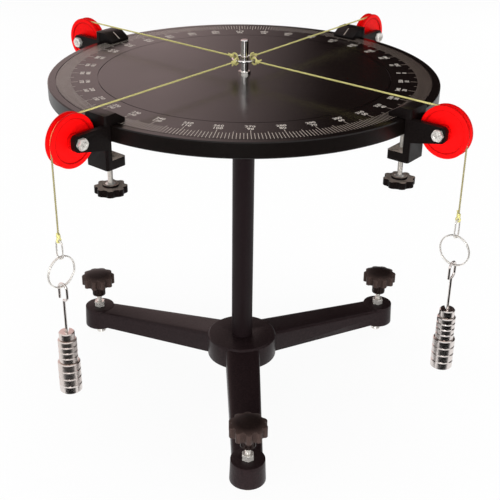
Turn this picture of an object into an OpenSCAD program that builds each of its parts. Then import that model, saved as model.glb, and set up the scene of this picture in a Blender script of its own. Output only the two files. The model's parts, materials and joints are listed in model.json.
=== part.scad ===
// Force table: a graduated round table on a column and a three-legged levelling base, with four
// pulleys clamped to its rim, a pull ring on cords at its centre and slotted weights on hangers.
// Millimetres, +Z up. The origin is where the table's axis meets its top face.

/* [Table] */
// Diameter of the round table
disc_d = 400; // [360:5:440]
// Thickness of the table
disc_t = 15.5; // [13:0.5:20]
// Height of the table's top above the floor
table_h = 372; // [320:2:440]
// Width of the plain border outside the scale
border_w = 8; // [5:0.5:10]
// Diameter of the fine line round the middle field
field_d = 300; // [240:5:320]
// Width of the two fine lines
line_w = 0.8; // [0.5:0.1:1.5]
// Depth of the two fine lines
line_depth = 0.6; // [0.3:0.1:1]
// Chamfer on the table's edges
rim_edge = 1; // [0.5:0.25:2]

/* [Centre pin and pull ring] */
// Diameter of the centre pin
pin_d = 8; // [6:0.5:9]
// Height of the centre pin above the table
pin_h = 35; // [25:1:45]
// Length of the pin's thread in the table
pin_thread = 11; // [6:0.5:12]
// Width across the flats of the pin's lock nut
pin_nut_w = 11; // [10.5:0.5:15]
// Height of the pin's lock nut
pin_nut_h = 2.6; // [2:0.2:4]
// Mean diameter of the pull ring
ring_d = 24; // [22:1:40]
// Wire diameter of the pull ring
ring_wire = 2.5; // [1.5:0.25:3]

/* [Column] */
// Diameter of the column
column_d = 24; // [20:1:30]
// Diameter of the spigot at each end of the column
spigot_d = 16; // [12:0.5:18]
// Length of the spigot at each end of the column
spigot_len = 16; // [10:1:18]
// Diameter of the flange under the table
flange_d = 84; // [76:2:110]
// Thickness of the flange
flange_t = 8; // [6:0.5:12]
// Diameter of the flange's neck
flange_neck_d = 38; // [32:1:42]
// Height of the flange's neck
flange_neck_h = 22; // [20:1:35]
// Number of screws that hold the flange
flange_screws_n = 4; // [3:1:6]
// Diameter of the circle of flange screws
flange_circle_d = 62; // [58:1:66]
// Diameter of the flange screws
flange_screw_d = 5; // [4:0.5:6]
// Diameter of the bolt that holds the column to the base
column_bolt_d = 8; // [6:1:10]

/* [Base] */
// Diameter of the base's hub
hub_d = 80; // [70:2:96]
// Height of the base's hub
hub_h = 26; // [24:1:34]
// Distance from the axis to each levelling screw
leg_r = 205; // [180:1:230]
// Direction of the first leg
leg_angle = 30; // [25:1:35]
// Width of a leg at the hub
leg_w_hub = 39; // [32:1:44]
// Width of a leg at its boss
leg_w_boss = 31; // [24:1:33]
// Height of a leg at its boss
leg_h_boss = 19; // [14:1:22]
// Fall of a leg's top from the hub to its boss
leg_fall = 23.5; // [15:0.5:30]
// Radius of a leg's top edges
leg_edge = 4; // [2:0.5:6]
// Diameter of a boss at its top
boss_d = 35.5; // [30:0.5:40]
// Extra diameter of a boss at its foot, from its draft
boss_draft = 2; // [0:0.5:3]
// Height of a boss
boss_h = 25; // [22:1:30]
// Step from the top of a leg up to the top of its boss
boss_rise = 2.5; // [1:0.5:4]

/* [Levelling screws] */
// Diameter of a levelling screw
level_screw_d = 6; // [5:0.5:8]
// Width across the flats of a levelling lock nut
level_nut_w = 11.5; // [10:0.5:14]
// Height of a levelling lock nut
level_nut_h = 6.5; // [4:0.5:7]
// Distance from the top of a boss to the neck of its knob
level_gap = 16.5; // [14:0.5:22]
// Diameter of a levelling knob
level_knob_d = 40; // [36:1:46]
// Height of a levelling knob's head
level_knob_h = 15; // [13:0.5:20]
// Rise of the domed top of a levelling knob
level_knob_dome = 4; // [2:0.5:6]
// Number of lobes on a levelling knob
level_lobes = 10; // [8:1:11]
// Diameter of a levelling knob's neck
level_neck_d = 16; // [14:0.5:19]
// Height of a levelling knob's neck
level_neck_h = 15; // [8:0.5:18]
// Distance from the floor to the bottom of a boss
foot_out = 12; // [12:0.5:20]
// Diameter of a levelling foot
foot_d = 11; // [11:0.5:16]
// Height of a levelling foot
foot_h = 7; // [6:0.5:8]

/* [Clamps] */
// Direction of the back right clamp
angle_back_right = 49; // [30:0.5:60]
// Direction of the back left clamp
angle_back_left = 139; // [120:0.5:150]
// Direction of the front left clamp
angle_front_left = 228; // [210:0.5:240]
// Direction of the front right clamp
angle_front_right = 319; // [300:0.5:330]
// Width of a clamp along the rim
clamp_w = 28; // [26:0.5:34]
// Thickness of the clamp's back, outside the rim
clamp_back = 6.2; // [5:0.2:8]
// Gap between the rim and the clamp's back
rim_gap = 0.4; // [0.3:0.1:1]
// Height of the upper jaw above the table
upper_jaw_h = 10; // [8:0.5:11]
// Width of the upper jaw
upper_jaw_w = 27; // [18:0.5:28]
// Reach of the upper jaw in from the rim
upper_reach = 19; // [17:0.5:24]
// Length of the level stretch on top of the upper jaw, in from the rim
upper_flat = 7; // [2:0.5:10]
// Height of the upper jaw's nose
nose_h = 2.5; // [2:0.25:4]
// Reach of the lower jaw in from the rim
lower_reach = 16.5; // [15:0.5:24]
// Thickness of the lower jaw
lower_jaw_t = 9; // [7:0.5:11]
// Opening between the table's underside and the lower jaw
jaw_open = 17.5; // [16:0.5:24]
// Thickness of each fork cheek
cheek_t = 5.5; // [4:0.25:6]
// Height of a fork cheek at its root
cheek_root_h = 23; // [18:0.5:26]
// Height of a fork cheek at its end
cheek_h = 15.5; // [14:0.5:18]
// Length of a fork cheek beyond the axle
cheek_end = 7; // [6.5:0.25:12]
// Rounding of a fork cheek's end
cheek_round = 5; // [3:0.5:6]

/* [Pulleys] */
// Diameter of a pulley
pulley_d = 50; // [46:1:54]
// Width of a pulley's rim
pulley_w = 9; // [8:0.5:10]
// Diameter at the bottom of the groove
groove_d = 41.6; // [38:0.2:42]
// Width of the groove at its mouth
groove_w = 6; // [5:0.5:7]
// Diameter of the recess on each side of a pulley
recess_d = 40.5; // [30:0.5:41.5]
// Thickness of a pulley's web
web_t = 7.4; // [3:0.2:7.8]
// Diameter of a pulley's hub
pulley_hub_d = 14; // [12:0.5:16]
// Width of a pulley's hub
pulley_hub_w = 13; // [10:0.5:13.5]
// Distance of the axle outside the rim
axle_out = 35.2; // [34:0.2:40]
// Distance of the axle below the table's top
axle_drop = 7; // [5:0.25:9]
// Diameter of the axle
axle_d = 6; // [5:0.5:6.5]
// Width across the flats of the axle's head and nut
axle_nut_w = 10; // [9.5:0.5:11]
// Height of the axle's head and nut
axle_nut_h = 4; // [3:0.5:5]

/* [Clamp screws] */
// Diameter of a clamp screw
clamp_screw_d = 5; // [4:0.5:6]
// Distance of a clamp screw in from the rim
clamp_screw_in = 8.5; // [8:0.5:10]
// Diameter of the pad on a clamp screw
pad_d = 10; // [9:0.5:13]
// Height of the pad on a clamp screw
pad_h = 4; // [3.5:0.5:5]
// Distance from the lower jaw down to the clamp knob
clamp_knob_gap = 19.8; // [10:0.2:26]
// Diameter of a clamp knob
clamp_knob_d = 31; // [28:0.5:36]
// Height of a clamp knob's head
clamp_knob_h = 8.5; // [8:0.5:14]
// Rise of the domed underside of a clamp knob
clamp_knob_dome = 2; // [1:0.5:3]
// Number of lobes on a clamp knob
clamp_lobes = 8; // [6:1:8]
// Diameter of the collar on a clamp knob
collar_d = 15.5; // [13:0.5:18]
// Height of the collar on a clamp knob
collar_h = 2.2; // [1.5:0.1:4]

/* [Cords] */
// Diameter of the cords
cord_d = 1.8; // [1.2:0.1:2.2]
// Drop of the front left cord from its axle to its link
drop_front_left = 89.5; // [60:0.5:110]
// Drop of the front right cord from its axle to its link
drop_front_right = 81.5; // [60:0.5:110]
// Drop of each back cord from its axle to its end loop
drop_back = 45; // [35:1:80]
// Mean diameter of the loop tied in the end of a back cord
end_loop_d = 14; // [10:1:20]
// Diameter of a knot
knot_d = 4.5; // [3:0.25:5]

/* [Hanging weights] */
// Wire diameter of a cord link
link_wire = 1.6; // [1.2:0.1:2]
// Mean width of a cord link
link_w = 8.2; // [7:0.2:9]
// Length of a cord link's straight sides
link_side = 10.5; // [6:0.5:12]
// Mean diameter of a split ring
split_d = 30.4; // [26:0.2:34]
// Wire diameter of a split ring, which has two turns
split_wire = 1.4; // [1.2:0.1:1.8]
// Diameter of a hanger's rod
rod_d = 2.5; // [2:0.1:3]
// Mean diameter of a hanger's hook
hook_d = 11; // [9:0.5:13]
// Straight length at the tip of a hanger's hook
hook_tip = 10; // [3:0.5:12]
// Straight length of a hanger's hook, from its top bend down to the bend onto the rod
hook_side = 6; // [2:0.5:10]
// Distance from the split ring down to the top of the stack of weights
stack_drop = 48.5; // [40:0.5:60]
// Diameter of the smallest weight
small_d = 15; // [13:0.5:17]
// Height of the smallest weight
small_h = 7.9; // [5:0.1:9]
// Diameter of a middle weight
middle_d = 18; // [16:0.5:20]
// Height of a middle weight
middle_h = 6.1; // [4:0.1:7]
// Number of middle weights
middle_n = 4; // [2:1:5]
// Diameter of a large weight and of the hanger's base
large_d = 21.5; // [18:0.5:24]
// Height of a large weight and of the hanger's base
large_h = 8.2; // [6:0.1:10]
// Number of large weights on the hanger's base
large_n = 3; // [2:1:4]
// Chamfer on the edges of the weights
weight_edge = 0.8; // [0.3:0.1:1]

/* [Fits] */
// Radial clearance of a pin, screw or axle in its hole
fit = 0.05; // [0.02:0.01:0.1]
// Clearance between pieces that slide or hang on each other
slack = 0.3; // [0.2:0.05:0.4]
// Clearance between a clamp's jaws and the table
jaw_gap = 0.1; // [0.05:0.05:0.3]

/* [Hidden] */
$fn = 64;

// Places round the table, counted anticlockwise from +X, seen from above
CLAMPS = ["back_right", "back_left", "front_left", "front_right"];
CLAMP_DIRS = [angle_back_right, angle_back_left, angle_front_left, angle_front_right];
LEGS = ["right", "left", "front"];
LEG_STEP = 120;
LOADED = ["front_left", "front_right"];

ROOT_NODES = ["tripod_base", "column", "column_bolt", "table_flange", "flange_screws", "table_disc",
    "lock_nuts", "centre_pin", "pull_ring"];
LEG_NODES = ["levelling_knob", "levelling_screw", "levelling_foot"];
CLAMP_NODES = ["clamp_frame", "axle_bolt", "axle_nut_set", "pulley", "clamp_pad", "clamp_screw",
    "clamp_knob", "cord"];
LOAD_NODES = ["cord_link", "split_ring", "weight_hanger", "large_weights", "small_weights"];

// Heights of the base, from the floor up
floor_z = -table_h;
boss_bottom = floor_z + foot_out;
boss_top = boss_bottom + boss_h;
leg_end_top = boss_top - boss_rise;
hub_top = leg_end_top + leg_fall;
hub_bottom = hub_top - hub_h;

// Column and flange
flange_top = -disc_t;
flange_bottom = flange_top - flange_t;
neck_bottom = flange_bottom - flange_neck_h;
column_bolt_head_h = 6;
column_bolt_w = 1.6 * column_bolt_d;
column_washer_d = 2.5 * column_bolt_d;
column_washer_t = 1.6;
column_bolt_grip = 20;
bolt_recess_d = column_washer_d + 6;
bolt_recess_h = column_bolt_head_h + column_washer_t + 0.5;
flange_screw_grip = 8;
flange_head_d = 1.8 * flange_screw_d;
flange_head_h = 0.6 * flange_screw_d;
pin_thread_d = pin_d - 2;
pin_tip = 0.8;

// Levelling screws
level_neck_bottom = boss_top + level_gap;
level_head_bottom = level_neck_bottom + level_neck_h;
level_knob_bore = level_neck_h + 5;
level_neck_rim = 2;
level_neck_flutes = 10;
level_neck_flute_d = 3;
level_lobe_r = 3.4;
level_flute_r = 3;
foot_socket = 4;
foot_top_d = level_screw_d + 1.8;
foot_rim = 1.2;
foot_flare = (foot_d - foot_top_d) / 2;
foot_flare_h = foot_h - foot_rim;
foot_flare_r = (pow(foot_flare_h, 2) + pow(foot_flare, 2)) / (2 * foot_flare);

// Clamps, in a frame where +X points outwards along the clamp's own radius
rim_r = disc_d / 2;
back_in = rim_r + rim_gap;
back_out = back_in + clamp_back;
nose_in = rim_r - upper_reach;
lower_in = rim_r - lower_reach;
lower_top = -disc_t - jaw_open;
lower_bottom = lower_top - lower_jaw_t;
clamp_corner = 2.5;
nose_round = 2;
axle_r = rim_r + axle_out;
axle_z = -axle_drop;
cheek_in = clamp_w / 2 - cheek_t;
cheek_x = axle_r + cheek_end;

// Pulleys and axles
groove_round = 1.2;
flange_round = 0.8;
spacer_d = axle_nut_w + 0.5;
spacer_t = cheek_in - pulley_hub_w / 2 - slack;
axle_tail = axle_nut_h + 0.5;

// Clamp screws
screw_x = rim_r - clamp_screw_in;
pad_top = -disc_t - jaw_gap;
pad_socket = 2;
clamp_knob_top = lower_bottom - clamp_knob_gap;
clamp_head_top = clamp_knob_top - collar_h;
clamp_knob_bore = collar_h + clamp_knob_h - 3;
clamp_lobe_r = 3.6;
clamp_flute_r = 3.2;
screw_flange_d = 2 * clamp_screw_d;
screw_flange_t = 1.2;

// Cords: out from the pull ring, over the pulley and down
lay_r = groove_d / 2 + slack + cord_d / 2;
cord_z = axle_z + lay_r;
cord_x = axle_r + lay_r;
ring_loop_r = ring_wire / 2 + slack + cord_d / 2;
link_loop_r = link_wire / 2 + slack + cord_d / 2;

// Hanging pieces, in heights below the top wire of the link
link_len = link_w + link_side;
split_top = -link_len + link_wire / 2 + slack + split_wire / 2;
split_mid = split_top - split_d / 2;
split_bottom = split_mid - split_d / 2;
split_pitch = 0.85 * split_wire;
hook_rest = split_wire / 2 + 1.6 * slack + rod_d / 2;
hook_mid = split_bottom + hook_rest - hook_d / 2;
rod_top = hook_mid - hook_side - hook_d / 2;
stack_top = split_bottom - stack_drop;
middle_top = stack_top - small_h;
large_top = middle_top - middle_n * middle_h;
base_top = large_top - large_n * large_h;
base_bottom = base_top - large_h;
slot_w = rod_d + 0.9;
weight_gap = 0.1;

function place_angle(place) = CLAMP_DIRS[search([place], CLAMPS)[0]];
function leg_dir(leg) = leg_angle + LEG_STEP * search([leg], LEGS)[0];
function is_loaded(place) = len([for (loaded = LOADED) if (loaded == place) loaded]) > 0;
function link_z(place) = axle_z - (place == "front_left" ? drop_front_left : drop_front_right);

// Shared shapes

module at_leg(leg) {
    rotate(leg_dir(leg)) translate([leg_r, 0, 0]) children();
}

module at_clamp(place) {
    rotate(place_angle(place)) children();
}

// At the top wire of the link on a loaded cord, turned with its clamp
module at_link(place) {
    at_clamp(place) translate([cord_x, 0, link_z(place)]) children();
}

// At the same point, but with the table's own directions, so that both slots face the back
module at_stack(place) {
    at_link(place) rotate(-place_angle(place)) children();
}

// An outline in X and Z, extruded to a width along Y
module side_extrude(width) {
    rotate([90, 0, 0]) linear_extrude(width, center = true) children();
}

module hex_prism(width, height) {
    cylinder(d = width / cos(30), h = height, $fn = 6);
}

// A hexagon nut with its corners turned off at the top
module hex_nut(width, height, bore) {
    difference() {
        intersection() {
            hex_prism(width, height);
            cylinder(d1 = width / cos(30) + 2 * height, d2 = width, h = height + 0.001);
        }
        translate([0, 0, -1]) cylinder(d = bore, h = height + 2);
    }
}

// A ring of round wire that lies flat
module wire_ring(mean_d, wire) {
    rotate_extrude() translate([mean_d / 2, 0]) circle(d = wire, $fn = 32);
}

// Part of a ring of round wire that lies flat, from +X on
module wire_arc(mean_d, wire, angle) {
    rotate_extrude(angle = angle) translate([mean_d / 2, 0]) circle(d = wire, $fn = 32);
}

// Round lobes that run into round flutes
module lobed_outline(d, lobes, lobe_r, flute_r) {
    half = 180 / lobes;
    lobe_c = d / 2 - lobe_r;
    reach = lobe_r + flute_r;
    flute_c = lobe_c * cos(half) + sqrt(pow(reach, 2) - pow(lobe_c * sin(half), 2));
    meet = [lobe_c, 0] + (flute_c * [cos(half), sin(half)] - [lobe_c, 0]) * lobe_r / reach;
    kink = 0.12;
    difference() {
        union() {
            circle(r = norm(meet));
            for (i = [0 : lobes - 1]) rotate(2 * half * i) translate([lobe_c, 0]) circle(r = lobe_r);
        }
        for (i = [0 : lobes - 1]) {
            rotate(2 * half * i + half) translate([flute_c, 0]) circle(r = flute_r + kink);
        }
    }
}

// The head of a star knob: flat below, domed on top
module knob_head(d, height, dome, lobes, lobe_r, flute_r) {
    ball_r = (pow(d / 2, 2) + pow(dome, 2)) / (2 * dome);
    intersection() {
        linear_extrude(height) lobed_outline(d, lobes, lobe_r, flute_r);
        translate([0, 0, height - ball_r]) sphere(r = ball_r, $fn = 128);
    }
}

// Table and column

// The round table, with two fine lines turned in its top
module table_disc() {
    color([0.16, 0.14, 0.14]) difference() {
        rotate_extrude($fn = 256) polygon([
            [0, -disc_t], [rim_r - rim_edge, -disc_t], [rim_r, -disc_t + rim_edge],
            [rim_r, -rim_edge], [rim_r - rim_edge, 0], [0, 0]]);
        for (line_r = [field_d / 2, rim_r - border_w]) {
            rotate_extrude($fn = 256) translate([line_r - line_w / 2, -line_depth]) square([line_w, 1]);
        }
        translate([0, 0, -pin_thread - 1]) cylinder(d = pin_thread_d + 2 * fit, h = pin_thread + 2);
        at_flange_screws() translate([0, 0, -disc_t - 1])
            cylinder(d = flange_screw_d + 2 * fit, h = flange_screw_grip + 1.5);
    }
}

// The pin: a thread in the table, a shoulder on its lock nut and a chamfered tip
module centre_pin() {
    color([0.86, 0.86, 0.88]) {
        translate([0, 0, -pin_thread]) cylinder(d = pin_thread_d, h = pin_thread + pin_nut_h + 1);
        translate([0, 0, pin_nut_h]) cylinder(d = pin_d, h = pin_h - pin_tip - pin_nut_h);
        translate([0, 0, pin_h - pin_tip]) cylinder(d1 = pin_d, d2 = pin_d - 2 * pin_tip, h = pin_tip);
    }
}

module pull_ring() {
    color([0.8, 0.8, 0.82]) translate([0, 0, cord_z]) wire_ring(ring_d, ring_wire);
}

module at_flange_screws() {
    for (i = [0 : flange_screws_n - 1]) {
        rotate(360 * i / flange_screws_n) translate([flange_circle_d / 2, 0, 0]) children();
    }
}

// The flange under the table, with a neck that takes the column's upper spigot
module table_flange() {
    neck_fillet = 6;
    color([0.12, 0.12, 0.12]) difference() {
        rotate_extrude() difference() {
            union() {
                translate([0, flange_bottom]) square([flange_d / 2, flange_t]);
                translate([0, neck_bottom]) square([flange_neck_d / 2, flange_neck_h + 1]);
                translate([0, flange_bottom - neck_fillet])
                    square([flange_neck_d / 2 + neck_fillet, neck_fillet + 1]);
            }
            translate([flange_neck_d / 2 + neck_fillet, flange_bottom - neck_fillet]) circle(r = neck_fillet);
        }
        translate([0, 0, neck_bottom - 1]) cylinder(d = spigot_d + 2 * fit, h = spigot_len + 1 + slack);
        at_flange_screws() translate([0, 0, flange_bottom - 1])
            cylinder(d = flange_screw_d + 2 * fit, h = flange_t + 2);
    }
}

module flange_screws() {
    color([0.7, 0.7, 0.72]) at_flange_screws() {
        translate([0, 0, flange_bottom - flange_head_h]) cylinder(d = flange_head_d, h = flange_head_h);
        translate([0, 0, flange_bottom - 0.5])
            cylinder(d = flange_screw_d, h = flange_t + flange_screw_grip + 0.5);
    }
}

// The column, with a spigot at each end and a tapped hole in its foot
module column() {
    color([0.1, 0.1, 0.1]) difference() {
        union() {
            translate([0, 0, hub_top]) cylinder(d = column_d, h = neck_bottom - hub_top);
            translate([0, 0, neck_bottom - 1]) cylinder(d = spigot_d, h = spigot_len + 1);
            translate([0, 0, hub_top - spigot_len]) cylinder(d = spigot_d, h = spigot_len + 1);
        }
        translate([0, 0, hub_top - spigot_len - 1])
            cylinder(d = column_bolt_d + 2 * fit, h = column_bolt_grip + 2);
    }
}

// The bolt that draws the column down on the hub, with its washer
module column_bolt() {
    seat_z = hub_bottom + bolt_recess_h;
    color([0.7, 0.7, 0.72]) {
        translate([0, 0, seat_z - column_washer_t]) cylinder(d = column_washer_d, h = column_washer_t);
        translate([0, 0, seat_z - column_washer_t - column_bolt_head_h])
            hex_prism(column_bolt_w, column_bolt_head_h + 0.5);
        translate([0, 0, seat_z - 0.5])
            cylinder(d = column_bolt_d, h = hub_top - spigot_len + column_bolt_grip - seat_z + 0.5);
    }
}

// Base and levelling screws

// A leg's cross-section: flat below, round at its two top edges
function leg_section(x, width, top, height) = concat(
    [[x, -width / 2, top - height], [x, width / 2, top - height]],
    [for (a = [0 : 18 : 90])
        [x, width / 2 - leg_edge + leg_edge * cos(a), top - leg_edge + leg_edge * sin(a)]],
    [for (a = [90 : 18 : 180])
        [x, -width / 2 + leg_edge + leg_edge * cos(a), top - leg_edge + leg_edge * sin(a)]]);

// A leg lofted between its section at the hub and its section at the boss
module leg_loft() {
    inner = leg_section(hub_d / 4, leg_w_hub, hub_top, hub_h);
    outer = leg_section(leg_r, leg_w_boss, leg_end_top, leg_h_boss);
    n = len(inner);
    polyhedron(concat(inner, outer), concat(
        [[for (i = [0 : n - 1]) i]],
        [[for (i = [n - 1 : -1 : 0]) n + i]],
        [for (i = [0 : n - 1]) [n + i, n + (i + 1) % n, (i + 1) % n, i]]));
}

// The cast base: hub, three legs and a drafted boss at the end of each
module tripod_base() {
    hub_edge = 2;
    color([0.11, 0.1, 0.1]) difference() {
        union() {
            rotate_extrude() polygon([
                [0, hub_bottom], [hub_d / 2, hub_bottom], [hub_d / 2, hub_top - hub_edge],
                [hub_d / 2 - hub_edge, hub_top], [0, hub_top]]);
            for (leg = LEGS) {
                rotate(leg_dir(leg)) leg_loft();
                at_leg(leg) translate([0, 0, boss_bottom])
                    cylinder(d1 = boss_d + boss_draft, d2 = boss_d, h = boss_h);
            }
        }
        translate([0, 0, hub_top - spigot_len - slack]) cylinder(d = spigot_d + 2 * fit, h = spigot_len + 1);
        translate([0, 0, hub_bottom - 1]) cylinder(d = column_bolt_d + 2 * fit, h = hub_h);
        translate([0, 0, hub_bottom - 1]) cylinder(d = bolt_recess_d, h = bolt_recess_h + 1);
        for (leg = LEGS) {
            at_leg(leg) translate([0, 0, boss_bottom - 1])
                cylinder(d = level_screw_d + 2 * fit, h = boss_h + 2);
        }
    }
}

// One nut on each boss, and a thin one at the foot of the centre pin
module lock_nuts() {
    color([0.75, 0.75, 0.77]) {
        for (leg = LEGS) {
            at_leg(leg) translate([0, 0, boss_top])
                hex_nut(level_nut_w, level_nut_h, level_screw_d + 2 * fit);
        }
        hex_nut(pin_nut_w, pin_nut_h, pin_thread_d + 2 * fit);
    }
}

// A domed star knob on a fluted neck that ends in a plain rim
module levelling_knob(leg) {
    color([0.13, 0.12, 0.12]) at_leg(leg) difference() {
        union() {
            translate([0, 0, level_head_bottom]) knob_head(
                level_knob_d, level_knob_h, level_knob_dome, level_lobes, level_lobe_r, level_flute_r);
            difference() {
                translate([0, 0, level_neck_bottom]) cylinder(d = level_neck_d, h = level_neck_h + 1);
                for (i = [0 : level_neck_flutes - 1]) {
                    rotate(360 * (i + 0.5) / level_neck_flutes)
                        translate([level_neck_d / 2 + 0.4, 0, level_neck_bottom + level_neck_rim])
                        cylinder(d = level_neck_flute_d, h = level_neck_h + 2);
                }
            }
        }
        translate([0, 0, level_neck_bottom - 1])
            cylinder(d = level_screw_d + 2 * fit, h = level_knob_bore + 1);
    }
}

module levelling_screw(leg) {
    foot = floor_z + foot_h - foot_socket + fit;
    color([0.78, 0.78, 0.8]) at_leg(leg) translate([0, 0, foot])
        cylinder(d = level_screw_d, h = level_neck_bottom + level_knob_bore - fit - foot);
}

// A trumpet-shaped foot with a socket that the screw's tip turns in
module levelling_foot(leg) {
    color([0.8, 0.78, 0.76]) at_leg(leg) translate([0, 0, floor_z]) difference() {
        rotate_extrude() difference() {
            square([foot_d / 2, foot_h]);
            translate([foot_top_d / 2 + foot_flare_r, foot_h]) circle(r = foot_flare_r, $fn = 128);
        }
        translate([0, 0, foot_h - foot_socket]) cylinder(d = level_screw_d + 2 * fit, h = foot_socket + 1);
    }
}

// Clamps and pulleys

// The back and the lower jaw of the clamp, seen from the side
module clamp_back_outline() {
    polygon([
        [back_out, lower_bottom], [back_out, upper_jaw_h], [back_in, upper_jaw_h],
        [back_in, lower_top], [lower_in, lower_top], [lower_in, lower_bottom]]);
}

// The upper jaw, level over the rim and sloping down to its nose
module upper_jaw_outline() {
    polygon([
        [back_in + clamp_back / 2, jaw_gap], [back_in + clamp_back / 2, upper_jaw_h],
        [rim_r - upper_flat, upper_jaw_h], [nose_in, nose_h], [nose_in, jaw_gap]]);
}

// A fork cheek, level on top and rising from its root to its end below
module fork_cheek_outline() {
    end_z = cheek_h / 2 - cheek_round;
    root_x = back_out - clamp_back / 2;
    polygon([
        [root_x, axle_z + cheek_h / 2],
        [cheek_x - cheek_round, axle_z + cheek_h / 2], [cheek_x, axle_z + end_z],
        [cheek_x, axle_z - end_z], [cheek_x - cheek_round, axle_z - cheek_h / 2],
        [root_x, axle_z + cheek_h / 2 - cheek_root_h]]);
    for (side = [-1, 1]) translate([cheek_x - cheek_round, axle_z + side * end_z]) circle(r = cheek_round);
}

// A rectangle along X with rounded corners, centred across Y
module round_plan(x0, x1, width, radius) {
    translate([x0 + radius, -width / 2]) square([x1 - x0 - 2 * radius, width]);
    translate([x0, -width / 2 + radius]) square([x1 - x0, width - 2 * radius]);
    for (x = [x0 + radius, x1 - radius], side = [-1, 1]) {
        translate([x, side * (width / 2 - radius)]) circle(r = radius);
    }
}

// The clamp: a C that grips the rim, with a fork for the pulley on its back
module clamp_frame(place) {
    height = upper_jaw_h - lower_bottom;
    color([0.09, 0.09, 0.09]) at_clamp(place) difference() {
        union() {
            intersection() {
                side_extrude(clamp_w) clamp_back_outline();
                translate([0, 0, lower_bottom]) linear_extrude(height)
                    round_plan(lower_in, back_out, clamp_w, clamp_corner);
            }
            intersection() {
                side_extrude(upper_jaw_w) upper_jaw_outline();
                linear_extrude(2 * upper_jaw_h)
                    round_plan(nose_in, back_out + nose_round, upper_jaw_w, nose_round);
            }
            for (side = [-1, 1]) {
                translate([0, side * (clamp_w - cheek_t) / 2, 0]) side_extrude(cheek_t) fork_cheek_outline();
            }
        }
        translate([axle_r, 0, axle_z]) rotate([90, 0, 0])
            cylinder(d = axle_d + 2 * fit, h = clamp_w + 2, center = true);
        translate([screw_x, 0, lower_bottom - 1])
            cylinder(d = clamp_screw_d + 2 * fit, h = lower_jaw_t + 2);
    }
}

// At a pulley's middle, with +Z along its axle
module at_axle(place) {
    at_clamp(place) translate([axle_r, 0, axle_z]) rotate([-90, 0, 0]) children();
}

module axle_bolt(place) {
    color([0.84, 0.84, 0.86]) at_axle(place) {
        translate([0, 0, -clamp_w / 2 - axle_nut_h]) intersection() {
            hex_prism(axle_nut_w, axle_nut_h);
            translate([0, 0, -0.001])
                cylinder(d1 = axle_nut_w, d2 = axle_nut_w / cos(30) + 2 * axle_nut_h, h = axle_nut_h + 0.002);
        }
        translate([0, 0, -clamp_w / 2 - 0.5]) cylinder(d = axle_d, h = clamp_w + axle_tail + 0.5);
    }
}

// The axle's nut and the spacers on each side of the pulley's hub
module axle_nut_set(place) {
    color([0.84, 0.84, 0.86]) at_axle(place) {
        translate([0, 0, clamp_w / 2]) hex_nut(axle_nut_w, axle_nut_h, axle_d + 2 * fit);
        for (side = [-1, 1]) {
            translate([0, 0, side * (cheek_in - spacer_t / 2)]) difference() {
                cylinder(d = spacer_d, h = spacer_t, center = true);
                cylinder(d = axle_d + 2 * fit, h = spacer_t + 2, center = true);
            }
        }
    }
}

// Half of a pulley's section, from its bore to its grooved rim
module pulley_section() {
    difference() {
        union() {
            translate([axle_d / 2 + fit, -pulley_hub_w / 2])
                square([(pulley_hub_d - axle_d) / 2 - fit, pulley_hub_w]);
            translate([pulley_hub_d / 2 - 1, -web_t / 2]) square([(recess_d - pulley_hub_d) / 2 + 2, web_t]);
            translate([recess_d / 2, -pulley_w / 2])
                square([(pulley_d - recess_d) / 2 - flange_round, pulley_w]);
            translate([recess_d / 2, flange_round - pulley_w / 2])
                square([(pulley_d - recess_d) / 2, pulley_w - 2 * flange_round]);
            for (side = [-1, 1]) {
                translate([pulley_d / 2 - flange_round, side * (pulley_w / 2 - flange_round)])
                    circle(r = flange_round);
            }
        }
        translate([groove_d / 2 + groove_round, 0]) circle(r = groove_round);
        polygon([
            [groove_d / 2 + groove_round, -groove_round], [groove_d / 2 + groove_round, groove_round],
            [pulley_d / 2 + 1, groove_w / 2], [pulley_d / 2 + 1, -groove_w / 2]]);
    }
}

module pulley(place) {
    color([0.85, 0.05, 0.04]) at_axle(place) rotate_extrude($fn = 128) pulley_section();
}

module clamp_pad(place) {
    color([0.75, 0.75, 0.77]) at_clamp(place) translate([screw_x, 0, pad_top - pad_h]) difference() {
        cylinder(d = pad_d, h = pad_h);
        translate([0, 0, -1]) cylinder(d = clamp_screw_d + 2 * fit, h = pad_socket + 1);
    }
}

// The screw, with a small flange that seats on the knob's collar
module clamp_screw(place) {
    tip = pad_top - pad_h + pad_socket - fit;
    foot = clamp_knob_top - clamp_knob_bore + fit;
    color([0.84, 0.84, 0.86]) at_clamp(place) translate([screw_x, 0, 0]) {
        translate([0, 0, foot]) cylinder(d = clamp_screw_d, h = tip - foot);
        translate([0, 0, clamp_knob_top])
            cylinder(d1 = screw_flange_d, d2 = clamp_screw_d + 1, h = screw_flange_t);
    }
}

// A star knob that hangs under the clamp: collar up, dome down
module clamp_knob(place) {
    color([0.1, 0.09, 0.09]) at_clamp(place) translate([screw_x, 0, 0]) difference() {
        union() {
            translate([0, 0, clamp_head_top]) mirror([0, 0, 1]) knob_head(
                clamp_knob_d, clamp_knob_h, clamp_knob_dome, clamp_lobes, clamp_lobe_r, clamp_flute_r);
            translate([0, 0, clamp_head_top - 1]) cylinder(d = collar_d, h = collar_h + 1);
        }
        translate([0, 0, clamp_knob_top - clamp_knob_bore])
            cylinder(d = clamp_screw_d + 2 * fit, h = clamp_knob_bore + 1);
    }
}

// Cords and what hangs on them

// A loop of cord in the clamp's own plane, round a wire that crosses it
module cord_loop(mean_r) {
    rotate([90, 0, 0]) wire_ring(2 * mean_r, cord_d);
}

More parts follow.
